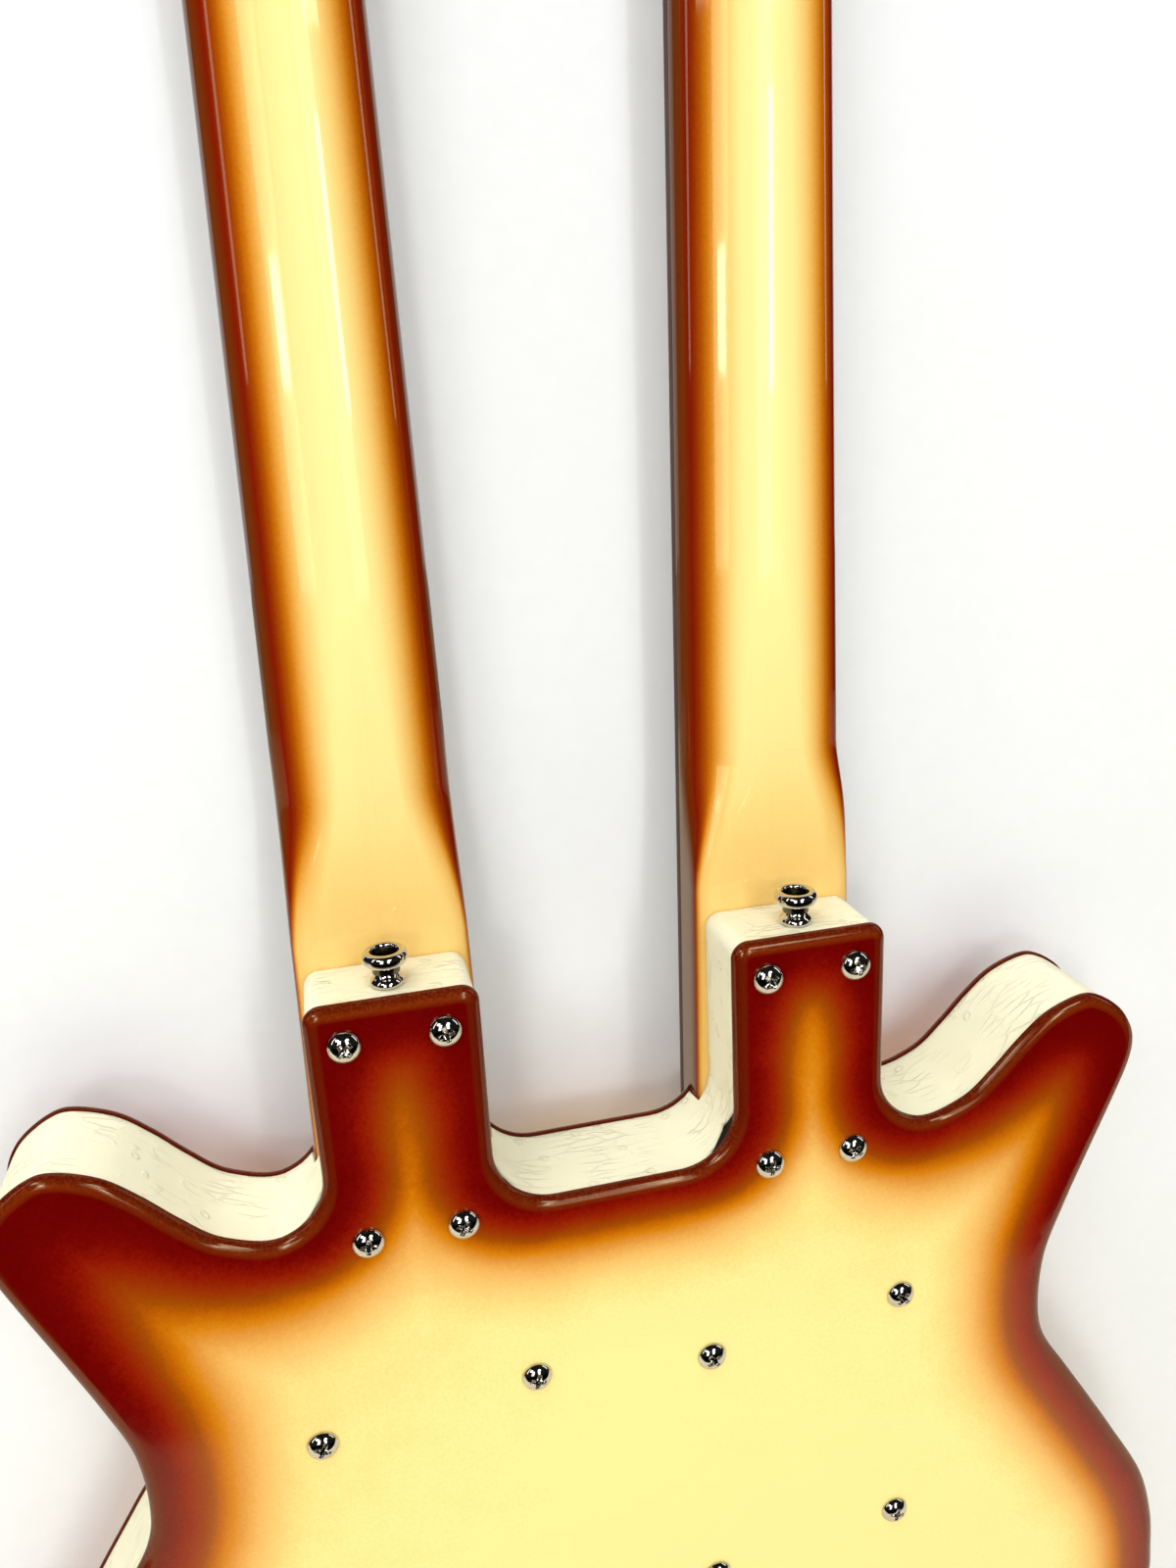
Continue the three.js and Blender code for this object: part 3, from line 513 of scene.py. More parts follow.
def corner_share(x, z, reach):
    """How near each place is to the inside corners beside the tongues: 1 at a corner, and 0 from the
    reach onward."""
    near = np.zeros(len(x))
    for side in (-1, 1):
        for centre_x, centre_z, radius in (
            (NECK_X + TONGUE_HALF + OUTER_CORNER, OUTER_DROP + OUTER_CORNER - TROUGH, OUTER_CORNER),
            (NECK_X - TONGUE_HALF - INNER_CORNER, INNER_CORNER - TROUGH, INNER_CORNER),
        ):
            toward = 1 if centre_x > NECK_X else -1
            corner_x = side * (centre_x - toward * radius * 0.85)
            away = np.hypot(x - corner_x, z - centre_z + radius * 0.5)
            near = np.maximum(near, np.clip(1 - away / reach, 0, 1))
    return near


def spray_share(plan):
    """How thin the dark spray lies, 0 to 1: a logistic curve over the depth inside the edge, up to the
    spray's depth, and the share of body nearby. The horns and the high end are sprayed more heavily,
    the inside corners come out darker, and a lighter stripe runs down the middle of each tongue."""
    depth = np.clip(edge_distance(plan, outline), 0, SPRAY_DEPTH) / SPRAY_DEPTH
    near = read_grid(near_spray, plan)
    x, z = plan.T
    fade = 3.13 * depth + 7.66 * near - 1.62 * np.abs(x) / 200 - 0.84 * (z + 150) / 150 + 0.5 * x / 200 - 7.36
    stripe = np.exp(-((np.abs(x) - NECK_X) / 12)**2)
    weight = np.interp(z, (-100, -75, -50, -30), (0, 0.1, 0.25, 0.45)) + 0.15 * np.sign(x) * (z > -100)
    # The inside corners are made darker.
    fade += weight * stripe - 1.7 * corner_share(x, z, 30) - 0.07 * np.clip((z + 80) / 30, 0, 1)
    return 1 / (1 + np.exp(-fade))


# Materials

def linear(rgb):
    """Colour written on a byte scale, 0 to 255, as linear light."""
    c = np.asarray(rgb, float) / 255
    return tuple(np.where(c <= 0.04045, c / 12.92, ((c + 0.055) / 1.055)**2.4)) + (1.0,)


class Finish:
    """A material's nodes, made one after another and wired to one shader."""

    def __init__(self, name, **sockets):
        self.material = bpy.data.materials.new(name)
        self.material.use_nodes = True
        self.nodes = self.material.node_tree.nodes
        self.links = self.material.node_tree.links
        self.shader = self.nodes["Principled BSDF"]
        for label, value in sockets.items():
            self.shader.inputs[label.replace("_", " ")].default_value = value

    def node(self, kind, inputs=(), **settings):
        made = self.nodes.new(kind)
        for label, value in settings.items():
            setattr(made, label, value)
        for socket, value in dict(inputs).items():
            self.feed(made.inputs[socket], value)
        return made

    def feed(self, socket, value):
        if isinstance(value, bpy.types.NodeSocket):
            self.links.new(value, socket)
        else:
            socket.default_value = value

    def place(self, scale=(1, 1, 1), turn=(0, 0, 0)):
        """Object coordinates, scaled and turned."""
        source = self.node("ShaderNodeTexCoord").outputs["Object"]
        return self.node("ShaderNodeMapping", {"Vector": source, "Scale": scale, "Rotation": turn}).outputs[0]

    def share(self, label):
        return self.node("ShaderNodeAttribute", attribute_name=label).outputs["Fac"]

    def noise(self, scale, detail=3, rough=0.5, place=None):
        inputs = {"Vector": place or self.place(), "Scale": scale, "Detail": detail, "Roughness": rough}
        return self.node("ShaderNodeTexNoise", inputs).outputs["Fac"]

    def cells(self, place, scale, feature="F1"):
        inputs = {"Vector": place, "Scale": scale}
        return self.node("ShaderNodeTexVoronoi", inputs, feature=feature).outputs["Distance"]

    def warped(self, place, scale, reach):
        """Coordinates pushed about by a noise, by up to a reach in metres."""
        inputs = {"Vector": place, "Scale": scale, "Detail": 2.0}
        push = self.node("ShaderNodeTexNoise", inputs).outputs["Color"]
        push = self.node("ShaderNodeVectorMath", {0: push, 1: (reach,) * 3}, operation="MULTIPLY").outputs[0]
        return self.node("ShaderNodeVectorMath", {0: place, 1: push}, operation="ADD").outputs[0]

    def ramp(self, factor, stops):
        """Colours or greys between places from 0 to 1; stops is a list of (place, colour)."""
        made = self.node("ShaderNodeValToRGB", {"Fac": factor})
        while len(made.color_ramp.elements) < len(stops):
            made.color_ramp.elements.new(1)
        for element, (where, colour) in zip(made.color_ramp.elements, stops):
            element.position = where
            element.color = linear(colour) if np.ndim(colour) else (colour, colour, colour, 1)
        return made.outputs["Color"]

    def math(self, operation, a, b=0.0):
        return self.node("ShaderNodeMath", {0: a, 1: b}, operation=operation).outputs["Value"]

    def drifted(self, value, *drifts):
        """A value moved up and down by noises about 0.5, each with its own weight."""
        for noise, weight in drifts:
            push = self.math("MULTIPLY", self.math("SUBTRACT", noise, 0.5), weight)
            value = self.math("ADD", value, push)
        return value

    def mix(self, factor, a, b, blend="MIX"):
        made = self.node("ShaderNodeMix", data_type="RGBA", blend_type=blend)
        for index, value in ((0, factor), (6, a), (7, b)):
            self.feed(made.inputs[index], value)
        return made.outputs[2]

    def bump(self, height, distance, strength=1.0):
        inputs = {"Height": height, "Distance": distance, "Strength": strength}
        self.links.new(self.node("ShaderNodeBump", inputs).outputs["Normal"], self.shader.inputs["Normal"])

    def wire(self, value, socket="Base Color"):
        self.links.new(value, self.shader.inputs[socket])


def sunburst_finish():
    """Lacquered panel: the spray share picks the colour from dark edge to cream centre, a fine fleck
    speckles it, and the rolled rim is a dark coppery brown under the same gloss, with painted light on
    it: a lighter copper band where the rim faces up, a darker line at its turned-down edge as painted
    shade, and dark red-brown where it faces sideways."""
    f = Finish("sunburst lacquer", IOR=1.45, Specular_Tint=(1, 0.84, 0.5, 1))
    fleck = f.noise(1100, 2, 0.6)
    cloud = f.noise(60, 3, 0.55)
    burst = f.ramp(f.drifted(f.share("spray"), (fleck, 0.09), (cloud, 0.05)), [
        (0.0, (98, 0, 0)), (0.035, (112, 2, 1)), (0.08, (134, 16, 1)), (0.14, (146, 35, 2)),
        (0.22, (152, 56, 2)), (0.30, (157, 74, 2)), (0.36, (182, 90, 1)), (0.44, (200, 112, 3)),
        (0.52, (215, 132, 20)), (0.60, (224, 150, 61)), (0.68, (234, 170, 82)), (0.76, (244, 190, 104)),
        (0.84, (252, 208, 123)), (0.90, (254, 225, 139)), (0.96, (255, 240, 158)),
    ])
    edge = f.share("rim")
    # Painted sheen and shade across the rim: lighter copper toward the flat, darker at the turned-down edge
    # beside the tape.
    rim_sheen_and_shade_stops = [(0.0, (134, 50, 6)), (0.3, (122, 42, 5)), (0.6, (100, 28, 4)), (0.95, (82, 14, 3))]
    rim_sheen_and_shade = f.ramp(edge, rim_sheen_and_shade_stops)
    glint = f.ramp(fleck, [(0.45, 0.0), (0.8, 0.5)])
    rim_sheen_and_shade = f.mix(glint, rim_sheen_and_shade, linear((146, 66, 14)))
    # Painted light: the rim is lighter copper where its normal faces up and dark red-brown where it faces
    # sideways, standing in for light from above.
    normal = f.node("ShaderNodeNewGeometry").outputs["Normal"]
    facing = f.node("ShaderNodeSeparateXYZ", {0: normal}).outputs["Z"]
    painted_top_light = f.ramp(facing, [(0.02, 0.25), (0.35, 1.0)])
    rim_sheen_and_shade = f.mix(painted_top_light, linear((92, 12, 3)), rim_sheen_and_shade)
    f.wire(f.mix(f.ramp(edge, [(0.0, 0.0), (0.12, 0.6), (0.35, 1.0)]), burst, rim_sheen_and_shade))
    f.wire(f.ramp(fleck, [(0.3, 0.09), (0.8, 0.13)]), "Roughness")
    f.bump(f.noise(26, 1), 0.0012, 0.25)
    return f.material


def tape_finish():
    """Cream vinyl pressed like ostrich hide: thin raised wrinkles that run along the tape and fade in
    and out, small raised quill rings, and a fine tooth."""
    f = Finish("ostrich vinyl", Roughness=0.45, Specular_IOR_Level=0.4)
    place = f.warped(f.place((0.4, 1.3, 0.4)), 60.0, 0.01)
    thread = f.ramp(f.cells(place, 230.0, "DISTANCE_TO_EDGE"), [(0.0, 1.0), (0.05, 0.5), (0.1, 0.0)])
    patches = f.ramp(f.noise(55, 2), [(0.45, 0.0), (0.62, 1.0)])
    wrinkles = f.math("MULTIPLY", thread, patches)
    rings = f.cells(f.warped(f.place(), 60.0, 0.005), 105.0)
    quill = f.ramp(rings, [(0.0, 0.35), (0.08, 0.2), (0.13, 1.0), (0.17, 0.8), (0.22, 0.1), (0.3, 0.0)])
    tooth = f.noise(900, 2)
    height = f.math("ADD", f.math("MULTIPLY", wrinkles, 0.6), f.math("MULTIPLY", quill, 0.5))
    height = f.math("ADD", height, f.math("MULTIPLY", tooth, 0.1))
    f.bump(height, 0.0006, 1.0)
    # Painted shade: the wrinkles and quill rings are painted a little darker, standing in for the shade of
    # their relief.
    painted_relief_shade = f.math("ADD", f.math("MULTIPLY", quill, 0.15), f.math("MULTIPLY", wrinkles, 0.1))
    f.wire(f.mix(painted_relief_shade, linear((244, 239, 207)), linear((226, 218, 180))))
    return f.material


def neck_finish():
    """High gloss lacquer on a neck: the side share picks the colour from brown flank through red and
    orange to cream, over faint long grain."""
    f = Finish("neck lacquer", IOR=1.48, Specular_Tint=(1, 0.88, 0.6, 1))
    grain = f.noise(300, 4, 0.6, f.place((1, 1, 0.03)))
    fleck = f.noise(1100, 2, 0.6)
    wave = f.noise(40, 2, place=f.place((1, 1, 0.25)))
    burst = f.ramp(f.drifted(f.share("side"), (fleck, 0.035), (wave, 0.03)), [
        (0.0, (92, 52, 34)), (0.14, (106, 52, 20)), (0.215, (114, 42, 5)), (0.29, (124, 21, 3)),
        (0.35, (141, 45, 2)), (0.415, (166, 76, 3)), (0.48, (196, 113, 14)), (0.55, (222, 154, 58)),
        (0.63, (239, 189, 101)), (0.71, (250, 212, 128)), (0.8, (254, 230, 150)), (1.0, (255, 242, 163)),
    ])
    f.wire(f.mix(f.ramp(grain, [(0.5, 0.0), (0.85, 0.05)]), burst, linear((205, 140, 66)), "MULTIPLY"))
    f.wire(f.ramp(grain, [(0.3, 0.045), (0.8, 0.075)]), "Roughness")
    f.bump(f.noise(60, 1, place=f.place((1, 1, 0.1))), 0.0003, 0.12)
    return f.material


def metal_finish(name, rgb, rough, scratch):
    """Plated metal with a faint uneven polish."""
    f = Finish(name, Metallic=1.0)
    smear = f.noise(420, 4, 0.6)
    f.wire(f.ramp(smear, [(0.3, rough), (0.8, rough + scratch)]), "Roughness")
    f.wire(f.mix(smear, linear(rgb), linear([c * 0.88 for c in rgb])))
    f.bump(smear, 0.00002, 0.3)
    return f.material


def wood_finish(name, dark, light, rough, painted_shade_level=None):
    """Wood with long grain and pores along Z. Where a level is given in millimetres, the wood behind it
    is painted near black, as painted shade in the gaps where the tape stands off the panel."""
    f = Finish(name, Specular_IOR_Level=0.25)
    place = f.place((1, 1, 0.05))
    grain = f.noise(420, 6, 0.65, place)
    bands = f.noise(70, 3, place=place)
    tone = f.mix(bands, linear(light), linear(dark))
    wood = f.mix(f.ramp(grain, [(0.3, 0.0), (0.7, 1.0)]), linear(dark), tone)
    if painted_shade_level is not None:
        level = f.node("ShaderNodeSeparateXYZ", {0: f.place()}).outputs["Y"]
        # Painted shade: near black below the level, for the dark gaps under the tape's edge.
        wood = f.mix(f.math("LESS_THAN", level, painted_shade_level / 1000), wood, linear((26, 15, 10)))
    f.wire(wood)
    f.wire(f.ramp(grain, [(0.0, rough + 0.1), (1.0, rough - 0.05)]), "Roughness")
    f.bump(grain, 0.00005, 0.8)
    return f.material


def plastic_finish(name, rgb, rough, mottle=0.12):
    """Moulded plastic or bone with a soft cloud and a fine orange-peel skin."""
    f = Finish(name)
    cloud = f.noise(90, 4)
    dull = f.ramp(cloud, [(0.35, 0.0), (0.75, 1.0)])
    f.wire(f.mix(dull, linear(rgb), linear([c * (1 - mottle) for c in rgb])))
    f.wire(f.ramp(cloud, [(0.2, rough), (0.8, rough + 0.1)]), "Roughness")
    f.bump(f.noise(1400, 2), 0.00002, 0.3)
    return f.material


def string_finish():
    """Wound nickel string: fine rings along Z."""
    f = Finish("wound nickel", Metallic=1.0)
    rings = f.node("ShaderNodeTexWave", {"Vector": f.place(), "Scale": 900.0}, bands_direction="Z")
    f.bump(rings.outputs["Fac"], 0.0001, 0.7)
    tone = f.noise(200)
    f.wire(f.ramp(tone, [(0.3, 0.2), (0.8, 0.38)]), "Roughness")
    f.wire(f.mix(tone, linear((196, 192, 184)), linear((150, 146, 140))))
    return f.material


FINISHES = {
    "sunburst_finish": sunburst_finish(),
    "edge_vinyl": tape_finish(),
    "neck_finish": neck_finish(),
    "bright_chrome": metal_finish("polished chrome", (222, 218, 210), 0.03, 0.05),
    "nickel_metal": metal_finish("polished nickel", (204, 198, 186), 0.12, 0.12),
    "dark_wood": wood_finish("rosewood", (60, 35, 23), (104, 68, 48), 0.6),
    # The core wood is painted near black toward the back panel, as painted shade in the tape's corner gaps.
    "core_wood": wood_finish("core wood", (142, 104, 62), (190, 152, 102), 0.75, painted_shade_level=-5.5),
    "nut_bone": plastic_finish("bone", (240, 232, 208), 0.35),
    "cream_plastic": plastic_finish("cream plastic", (240, 232, 208), 0.25),
}
# Painted shade: darker steel for the inside of the strap buttons' recesses, where shade falls.
painted_shade_steel = metal_finish("painted shade steel", (104, 98, 90), 0.14, 0.1)
fret_wire = metal_finish("fret wire", (206, 203, 194), 0.16, 0.1)
pearl = plastic_finish("inlay", (228, 226, 214), 0.2, 0.2)
wound = string_finish()
for part in frame["record"]["subparts"]:
    slots = frame["nodes"][part["node"]].data.materials
    slots.clear()
    slots.append(FINISHES[part["material_slot"]])


# Body

def panel(name, node, shell, face, under):
    """Lacquered panel with its spray share and its rim share, 1 where the rim turns down."""
    points = shell[0]
    plan = points[:, [0, 2]]
    away = edge_distance(plan, rim_loop)
    turned_down = np.clip(1 - away / RIM_WIDTH, 0, 1)
    inner = np.abs(points[:, 1] - under) / abs(face - under) < 0.02
    shares = {"spray": spray_share(plan), "rim": np.where(inner, 1, turned_down)}
    piece(name, node, "sunburst_finish", [shell], shares=shares)


def pickup_places():
    """Name and middle in plan of each pickup."""
    for name, neck in NECKS.items():
        for step, place in enumerate(("neck", "bridge")):
            middle = np.array([neck["x"] + PICKUP_SHIFT, PICKUP_FIRST - PICKUP_STEP * step])
            yield f"pickup_{name}_{place}", middle


def slanted(plan, centre):
    """Points turned by a pickup's slant and moved to its middle."""
    c, s = math.cos(PICKUP_TILT), math.sin(PICKUP_TILT)
    return np.asarray(plan, float) @ np.array([[c, s], [-s, c]]) + centre


def neck_half(neck, z):
    """Half width of a neck at a height: straight from the heel to the nut."""
    taper = (HEEL_WIDTH - neck["nut_width"]) / (neck["nut"] - SCREW_CENTRE)
    return (HEEL_WIDTH - taper * (z - SCREW_CENTRE)) / 2


def panels():
    """Back panel whole, and front panel cut out for the necks, pickups and controls."""
    shell = sheet(rim_loop, [], BACK_FACE, BACK_FACE + PANEL, 3.2, RIM_WIDTH, fall=RIM)
    panel("back_panel_lacquered", "back_panel", shell, BACK_FACE, BACK_FACE + PANEL)
    holes = []
    for neck in NECKS.values():
        low, high = HEEL_END - FIT, 5
        a, b = neck_half(neck, low) + FIT, neck_half(neck, high) + FIT
        x = neck["x"]
        holes.append(even(np.array([[x - a, low], [x + a, low], [x + b, high], [x - b, high]]), 4))
    straight = PICKUP_LENGTH / 2 - PICKUP_RADIUS
    radius = PICKUP_RADIUS + FIT
    ends = np.vstack([arc(straight, 0, radius, -0.5, 0.5, 12), arc(-straight, 0, radius, 0.5, 1.5, 12)])
    holes += [even(slanted(ends, centre), 5) for _, centre in pickup_places()]
    holes += [circle(*place, CONTROL_HOLE, 24) for place in CONTROLS.values()]
    under = FRONT_FACE - PANEL
    shell = sheet(rim_loop, holes, FRONT_FACE, under, 3.6, RIM_WIDTH, fall=RIM)
    panel("front_panel_lacquered", "front_panel", shell, FRONT_FACE, under)


def edge_tape():
    """Tape: a wall over the outline from the back panel to the front one, or to the neck's seat where
    a heel lies against it. Both its edges are rounded, and in the corners it stands off the panel."""
    loop = even(outline, 1.2)
    x, z = loop.T
    stop = np.full(len(loop), CORE_FRONT)
    for neck in NECKS.values():
        beside = np.abs(x - neck["x"]) < neck_half(neck, z) + FIT
        stop[beside & (z > HEEL_END)] = SEAT
    start = CORE_BACK + TAPE_OPENING * corner_share(x, z, 13)**1.3
    part = np.array([0, 0.004, 0.02, 0.05, 0.12, 0.25, 0.4, 0.55, 0.7, 0.83, 0.92, 0.97, 0.99, 1])
    ease = np.array([0.5, 0.2, 0.04, 0, 0, 0, 0, 0, 0, 0, 0, 0.05, 0.2, 0.5]) * TAPE_THICK
    walls = list(zip(part, ease)) + [(share, TAPE_THICK) for share in part[[13, 9, 4, 0]]]
    rings = []
    for share, depth in walls:
        plan = inset(loop, depth)
        rings.append(np.stack([plan[:, 0], start + (stop - start) * share, plan[:, 1]], -1))
    piece("edge_tape_vinyl", "edge_tape", "edge_vinyl", [looped(rings)], crease=60)


# Necks

def smooth_step(share):
    s = np.clip(share, 0, 1)
    return s * s * (3 - 2 * s)


def neck_section(neck, z, count):
    """Back of a neck at a height, from board edge to board edge: |x/half|^n + |y/thick|^n = 1, with n
    falling from a squared heel to a round shaft, evened along its length, and with its crest leaned
    to +X by the neck's lean times the square of the share of thickness. Gives the points and the side
    share of each: its run from the nearer board edge over the side run, lower towards the heel and on
    its darker side, and at the heel brown up to the corner and amber cream from there."""
    round_share = smooth_step((z - HEEL_TOP) / HEEL_BLEND)
    along = (z - HEEL_TOP) / (neck["nut"] - HEEL_TOP)
    shaft = SHAFT_THICK + (NUT_THICK - SHAFT_THICK) * along
    thick = HEEL_THICK + (shaft - HEEL_THICK) * round_share
    power = 2 / (HEEL_POWER + (SHAFT_POWER - HEEL_POWER) * math.sqrt(round_share))
    angle = np.linspace(0, np.pi, 1441)
    c, s = np.cos(angle), np.sin(angle)
    deep = np.abs(s)**power
    x = neck_half(neck, z) * np.sign(c) * np.abs(c)**power + neck["lean"] * round_share * deep**2
    y = BOARD_SEAT - thick * deep
    run = np.concatenate([[0], np.cumsum(np.hypot(np.diff(x), np.diff(y)))])
    at = np.linspace(0, run[-1], count)
    points = np.stack([neck["x"] + np.interp(at, run, x), np.interp(at, run, y), np.full(count, z)], -1)
    near = np.minimum(at, run[-1] - at)
    at_heel = np.interp(near, (0, 11, 13.2, 14.6, 16, 19), (0.02, 0.08, 0.27, 0.5, 0.66, 0.7))
    right, left = neck["dark_sides"]
    shaft_share = np.maximum(np.minimum(at - right, run[-1] - left - at), 0) / SIDE_RUN
    bare = np.interp(z, (10, 30, 50, 75, 110), (0.7, 0.73, 0.78, 0.85, 1))
    shaft_share = np.minimum(shaft_share, bare)
    return points, at_heel + (shaft_share - at_heel) * round_share**0.7


def headstock(neck):
    """Headstock: a sheet over its plan whose back rises out of the shaft's own round back within a
    short blend from the nut, with its edges rounded. Gives its shell and the side share of each
    point."""
    plan = HEAD_SHARES * [HEAD_WIDTH, HEAD_LENGTH] + [neck["x"], neck["nut"]]
    radius = np.full(len(plan), 6.0)
    radius[[0, -1]] = 0.2
    radius[[13, 14]] = (7, 10)
    loop = even(softened(plan[::-1], radius[::-1], 4), 2.5)
    points, faces = sheet(loop, [], HEAD_FACE, HEAD_BACK, 3.0, 1.6, 2.4)
    x, y, z = points.T
    half = neck_half(neck, neck["nut"])
    across = np.clip(np.abs(x - neck["x"]) / half, 0, 1)
    blend = smooth_step((z - neck["nut"]) / HEAD_BLEND)
    sunk = 0.15 * (1 - smooth_step((z - neck["nut"]) / 4))
    deep = (1 - across**SHAFT_POWER)**(1 / SHAFT_POWER)
    carved = np.minimum(BOARD_SEAT - NUT_THICK * deep + sunk, HEAD_FACE - 1.5)
    back = np.arange(len(points)) >= len(points) // 2
    y = np.where(back, np.maximum(y, carved + (HEAD_BACK - carved) * blend), y)
    away = edge_distance(points[:, [0, 2]], loop)
    from_board = np.clip(half - np.abs(x - neck["x"]), 0, half) + 8
    side = (from_board + (away + 5 - from_board) * blend) / SIDE_RUN
    return (np.stack([x, y, z], -1), faces), np.clip(side, 0.1, 1)


def neck_wood(name, neck):
    """Neck from the heel's end past the nut, with a flat seat for the board, and its headstock."""
    heights = np.concatenate([
        np.linspace(HEEL_END, HEEL_TOP, 20, endpoint=False),
        np.linspace(HEEL_TOP, HEEL_TOP + HEEL_BLEND, 48, endpoint=False),
        np.linspace(HEEL_TOP + HEEL_BLEND, neck["nut"] + NUT_LENGTH, 80),
    ])
    rings, ring_shares = zip(*(neck_section(neck, z, 121) for z in heights))
    head, head_share = headstock(neck)
    shells = [skin(rings), head]
    shares = {"side": np.concatenate([*ring_shares, head_share])}
    piece(f"neck_{name}_lacquered", f"neck_{name}", "neck_finish", shells, shares=shares)


def fret_place(neck, number):
    return neck["nut"] - neck["scale"] * (1 - 2**(-number / 12))


def crown(x):
    """Fall of the board's round face away from its middle."""
    return BOARD_RADIUS - np.sqrt(BOARD_RADIUS**2 - x**2)


def fingerboard(name, neck):
    """Board whose face is part of a wide cylinder with softened edges, carried along the neck's taper,
    with its frets and dots."""
    rings = []
    for z in np.linspace(BOARD_END, neck["nut"] - FIT, 30):
        half = neck_half(neck, z)
        x = half * np.sin(np.linspace(-np.pi / 2, np.pi / 2, 33))
        top = BOARD_TOP - crown(x) - rim_drop(half - np.abs(x), BOARD_EDGE)
        loop = np.vstack([[[half, BOARD_SEAT + FIT], [-half, BOARD_SEAT + FIT]], np.stack([x, top], -1)])
        rings.append(np.stack([loop[:, 0] + neck["x"], loop[:, 1], np.full(len(loop), z)], -1))
    node = f"fingerboard_{name}"
    piece(f"{node}_rosewood", node, "dark_wood", [skin(rings)])
    frets = [fret(neck, fret_place(neck, number)) for number in range(1, neck["frets"] + 1)]
    piece(f"{node}_frets", node, "nickel_metal", frets, fret_wire)
    dots = []
    for number in (3, 5, 7, 9, 12, 15, 17, 19, 21, 24):
        if number > neck["frets"]:
            continue
        z = (fret_place(neck, number - 1) + fret_place(neck, number)) / 2
        for x in ((-9, 9) if number in (12, 24) else (0,)):
            profile = [(0, -0.5), (3, -0.5), (3, 0.02), (2.9, 0.05), (0, 0.06)]
            dots.append(turned(profile, 32, (neck["x"] + x, BOARD_TOP - crown(x), z), FORWARD))
    piece(f"{node}_dots", node, "nut_bone", dots, pearl)


def fret(neck, z):
    """Fret: a half oval section carried across the board along its round face, lower at both ends."""
    half = neck_half(neck, z) - 0.5
    x = half * np.sin(np.linspace(-np.pi / 2, np.pi / 2, 19))
    end = np.clip((half - np.abs(x)) / 0.8, 0.05, 1)**0.5
    angle = np.linspace(0, np.pi, 9)
    up = np.concatenate([np.sin(angle), [-0.4]])
    along = np.concatenate([np.cos(angle), [0]])
    level = BOARD_TOP - crown(x)[:, None] + np.where(up > 0, up * 1.1 * end[:, None], up)
    wide = z + 1.2 * along * np.maximum(end, 0.5)[:, None]
    return skin(np.stack([np.broadcast_to(neck["x"] + x[:, None], level.shape), level, wide], -1))


# Strings, bridges and tuners

def string_x(neck, index, z):
    """A string's side place at a height: spread evenly, and narrowing from the saddle to the nut."""
    along = min((z - SADDLE) / neck["scale"], 1)
    spread = STRING_SPREAD + (neck["nut_width"] - 8 - STRING_SPREAD) * along
    return neck["x"] + (0.5 - index / 5) * spread


def post_places(neck):
    """Middle in plan of each tuner post, from the one next to the nut."""
    places = []
    for index, gauge in enumerate(neck["gauges"]):
        z = neck["nut"] + POST_FIRST + POST_STEP * index
        places.append((string_x(neck, index, z) + POST_RADIUS + gauge / 2 + FIT, z))
    return np.array(places)


def strings(name, neck):
    """Each string is a round wire straight from the bridge's lip over saddle and nut to its post, and
    its end winds round the post and turns with it."""
    posts = post_places(neck)
    for index, gauge in enumerate(neck["gauges"]):
        post_x, post_z = posts[index]
        lift = gauge / 2
        stops = [
            (BRIDGE_LOW - 1.4, BRIDGE_TOP + 0.8), (SADDLE - 1.5, STRING_AT_SADDLE + lift - 0.25),
            (SADDLE, STRING_AT_SADDLE + lift + 0.1), (SADDLE + 2, STRING_AT_SADDLE + lift),
            (neck["nut"], FRET_TOP + 0.35 + lift), (neck["nut"] + 2.4, FRET_TOP + 0.4 + lift),
            (neck["nut"] + NUT_LENGTH, FRET_TOP + 0.25 + lift), (post_z, STRING_AT_POST),
        ]
        path = np.array([(string_x(neck, index, z), level, z) for z, level in stops])
        metal = wound if gauge > 0.5 else fret_wire
        wire = [tube(path, lift, 8)]
        piece(f"string_{name}_{index + 1}", f"bridge_{name}", "nickel_metal", wire, metal)
        turns = np.linspace(0, 2 * np.pi * WINDING_TURNS, 90)
        reach = POST_RADIUS + lift - 0.1
        winding = np.stack([
            post_x - reach * np.cos(turns), STRING_AT_POST - (gauge + 0.05) * turns / (2 * np.pi),
            post_z + reach * np.sin(turns),
        ], -1)
        post = f"tuner_post_{name}_{index + 1}"
        coil = [tube(winding, lift, 8)]
        piece(f"string_winding_{name}_{index + 1}", post, "nickel_metal", coil, metal, body=post)


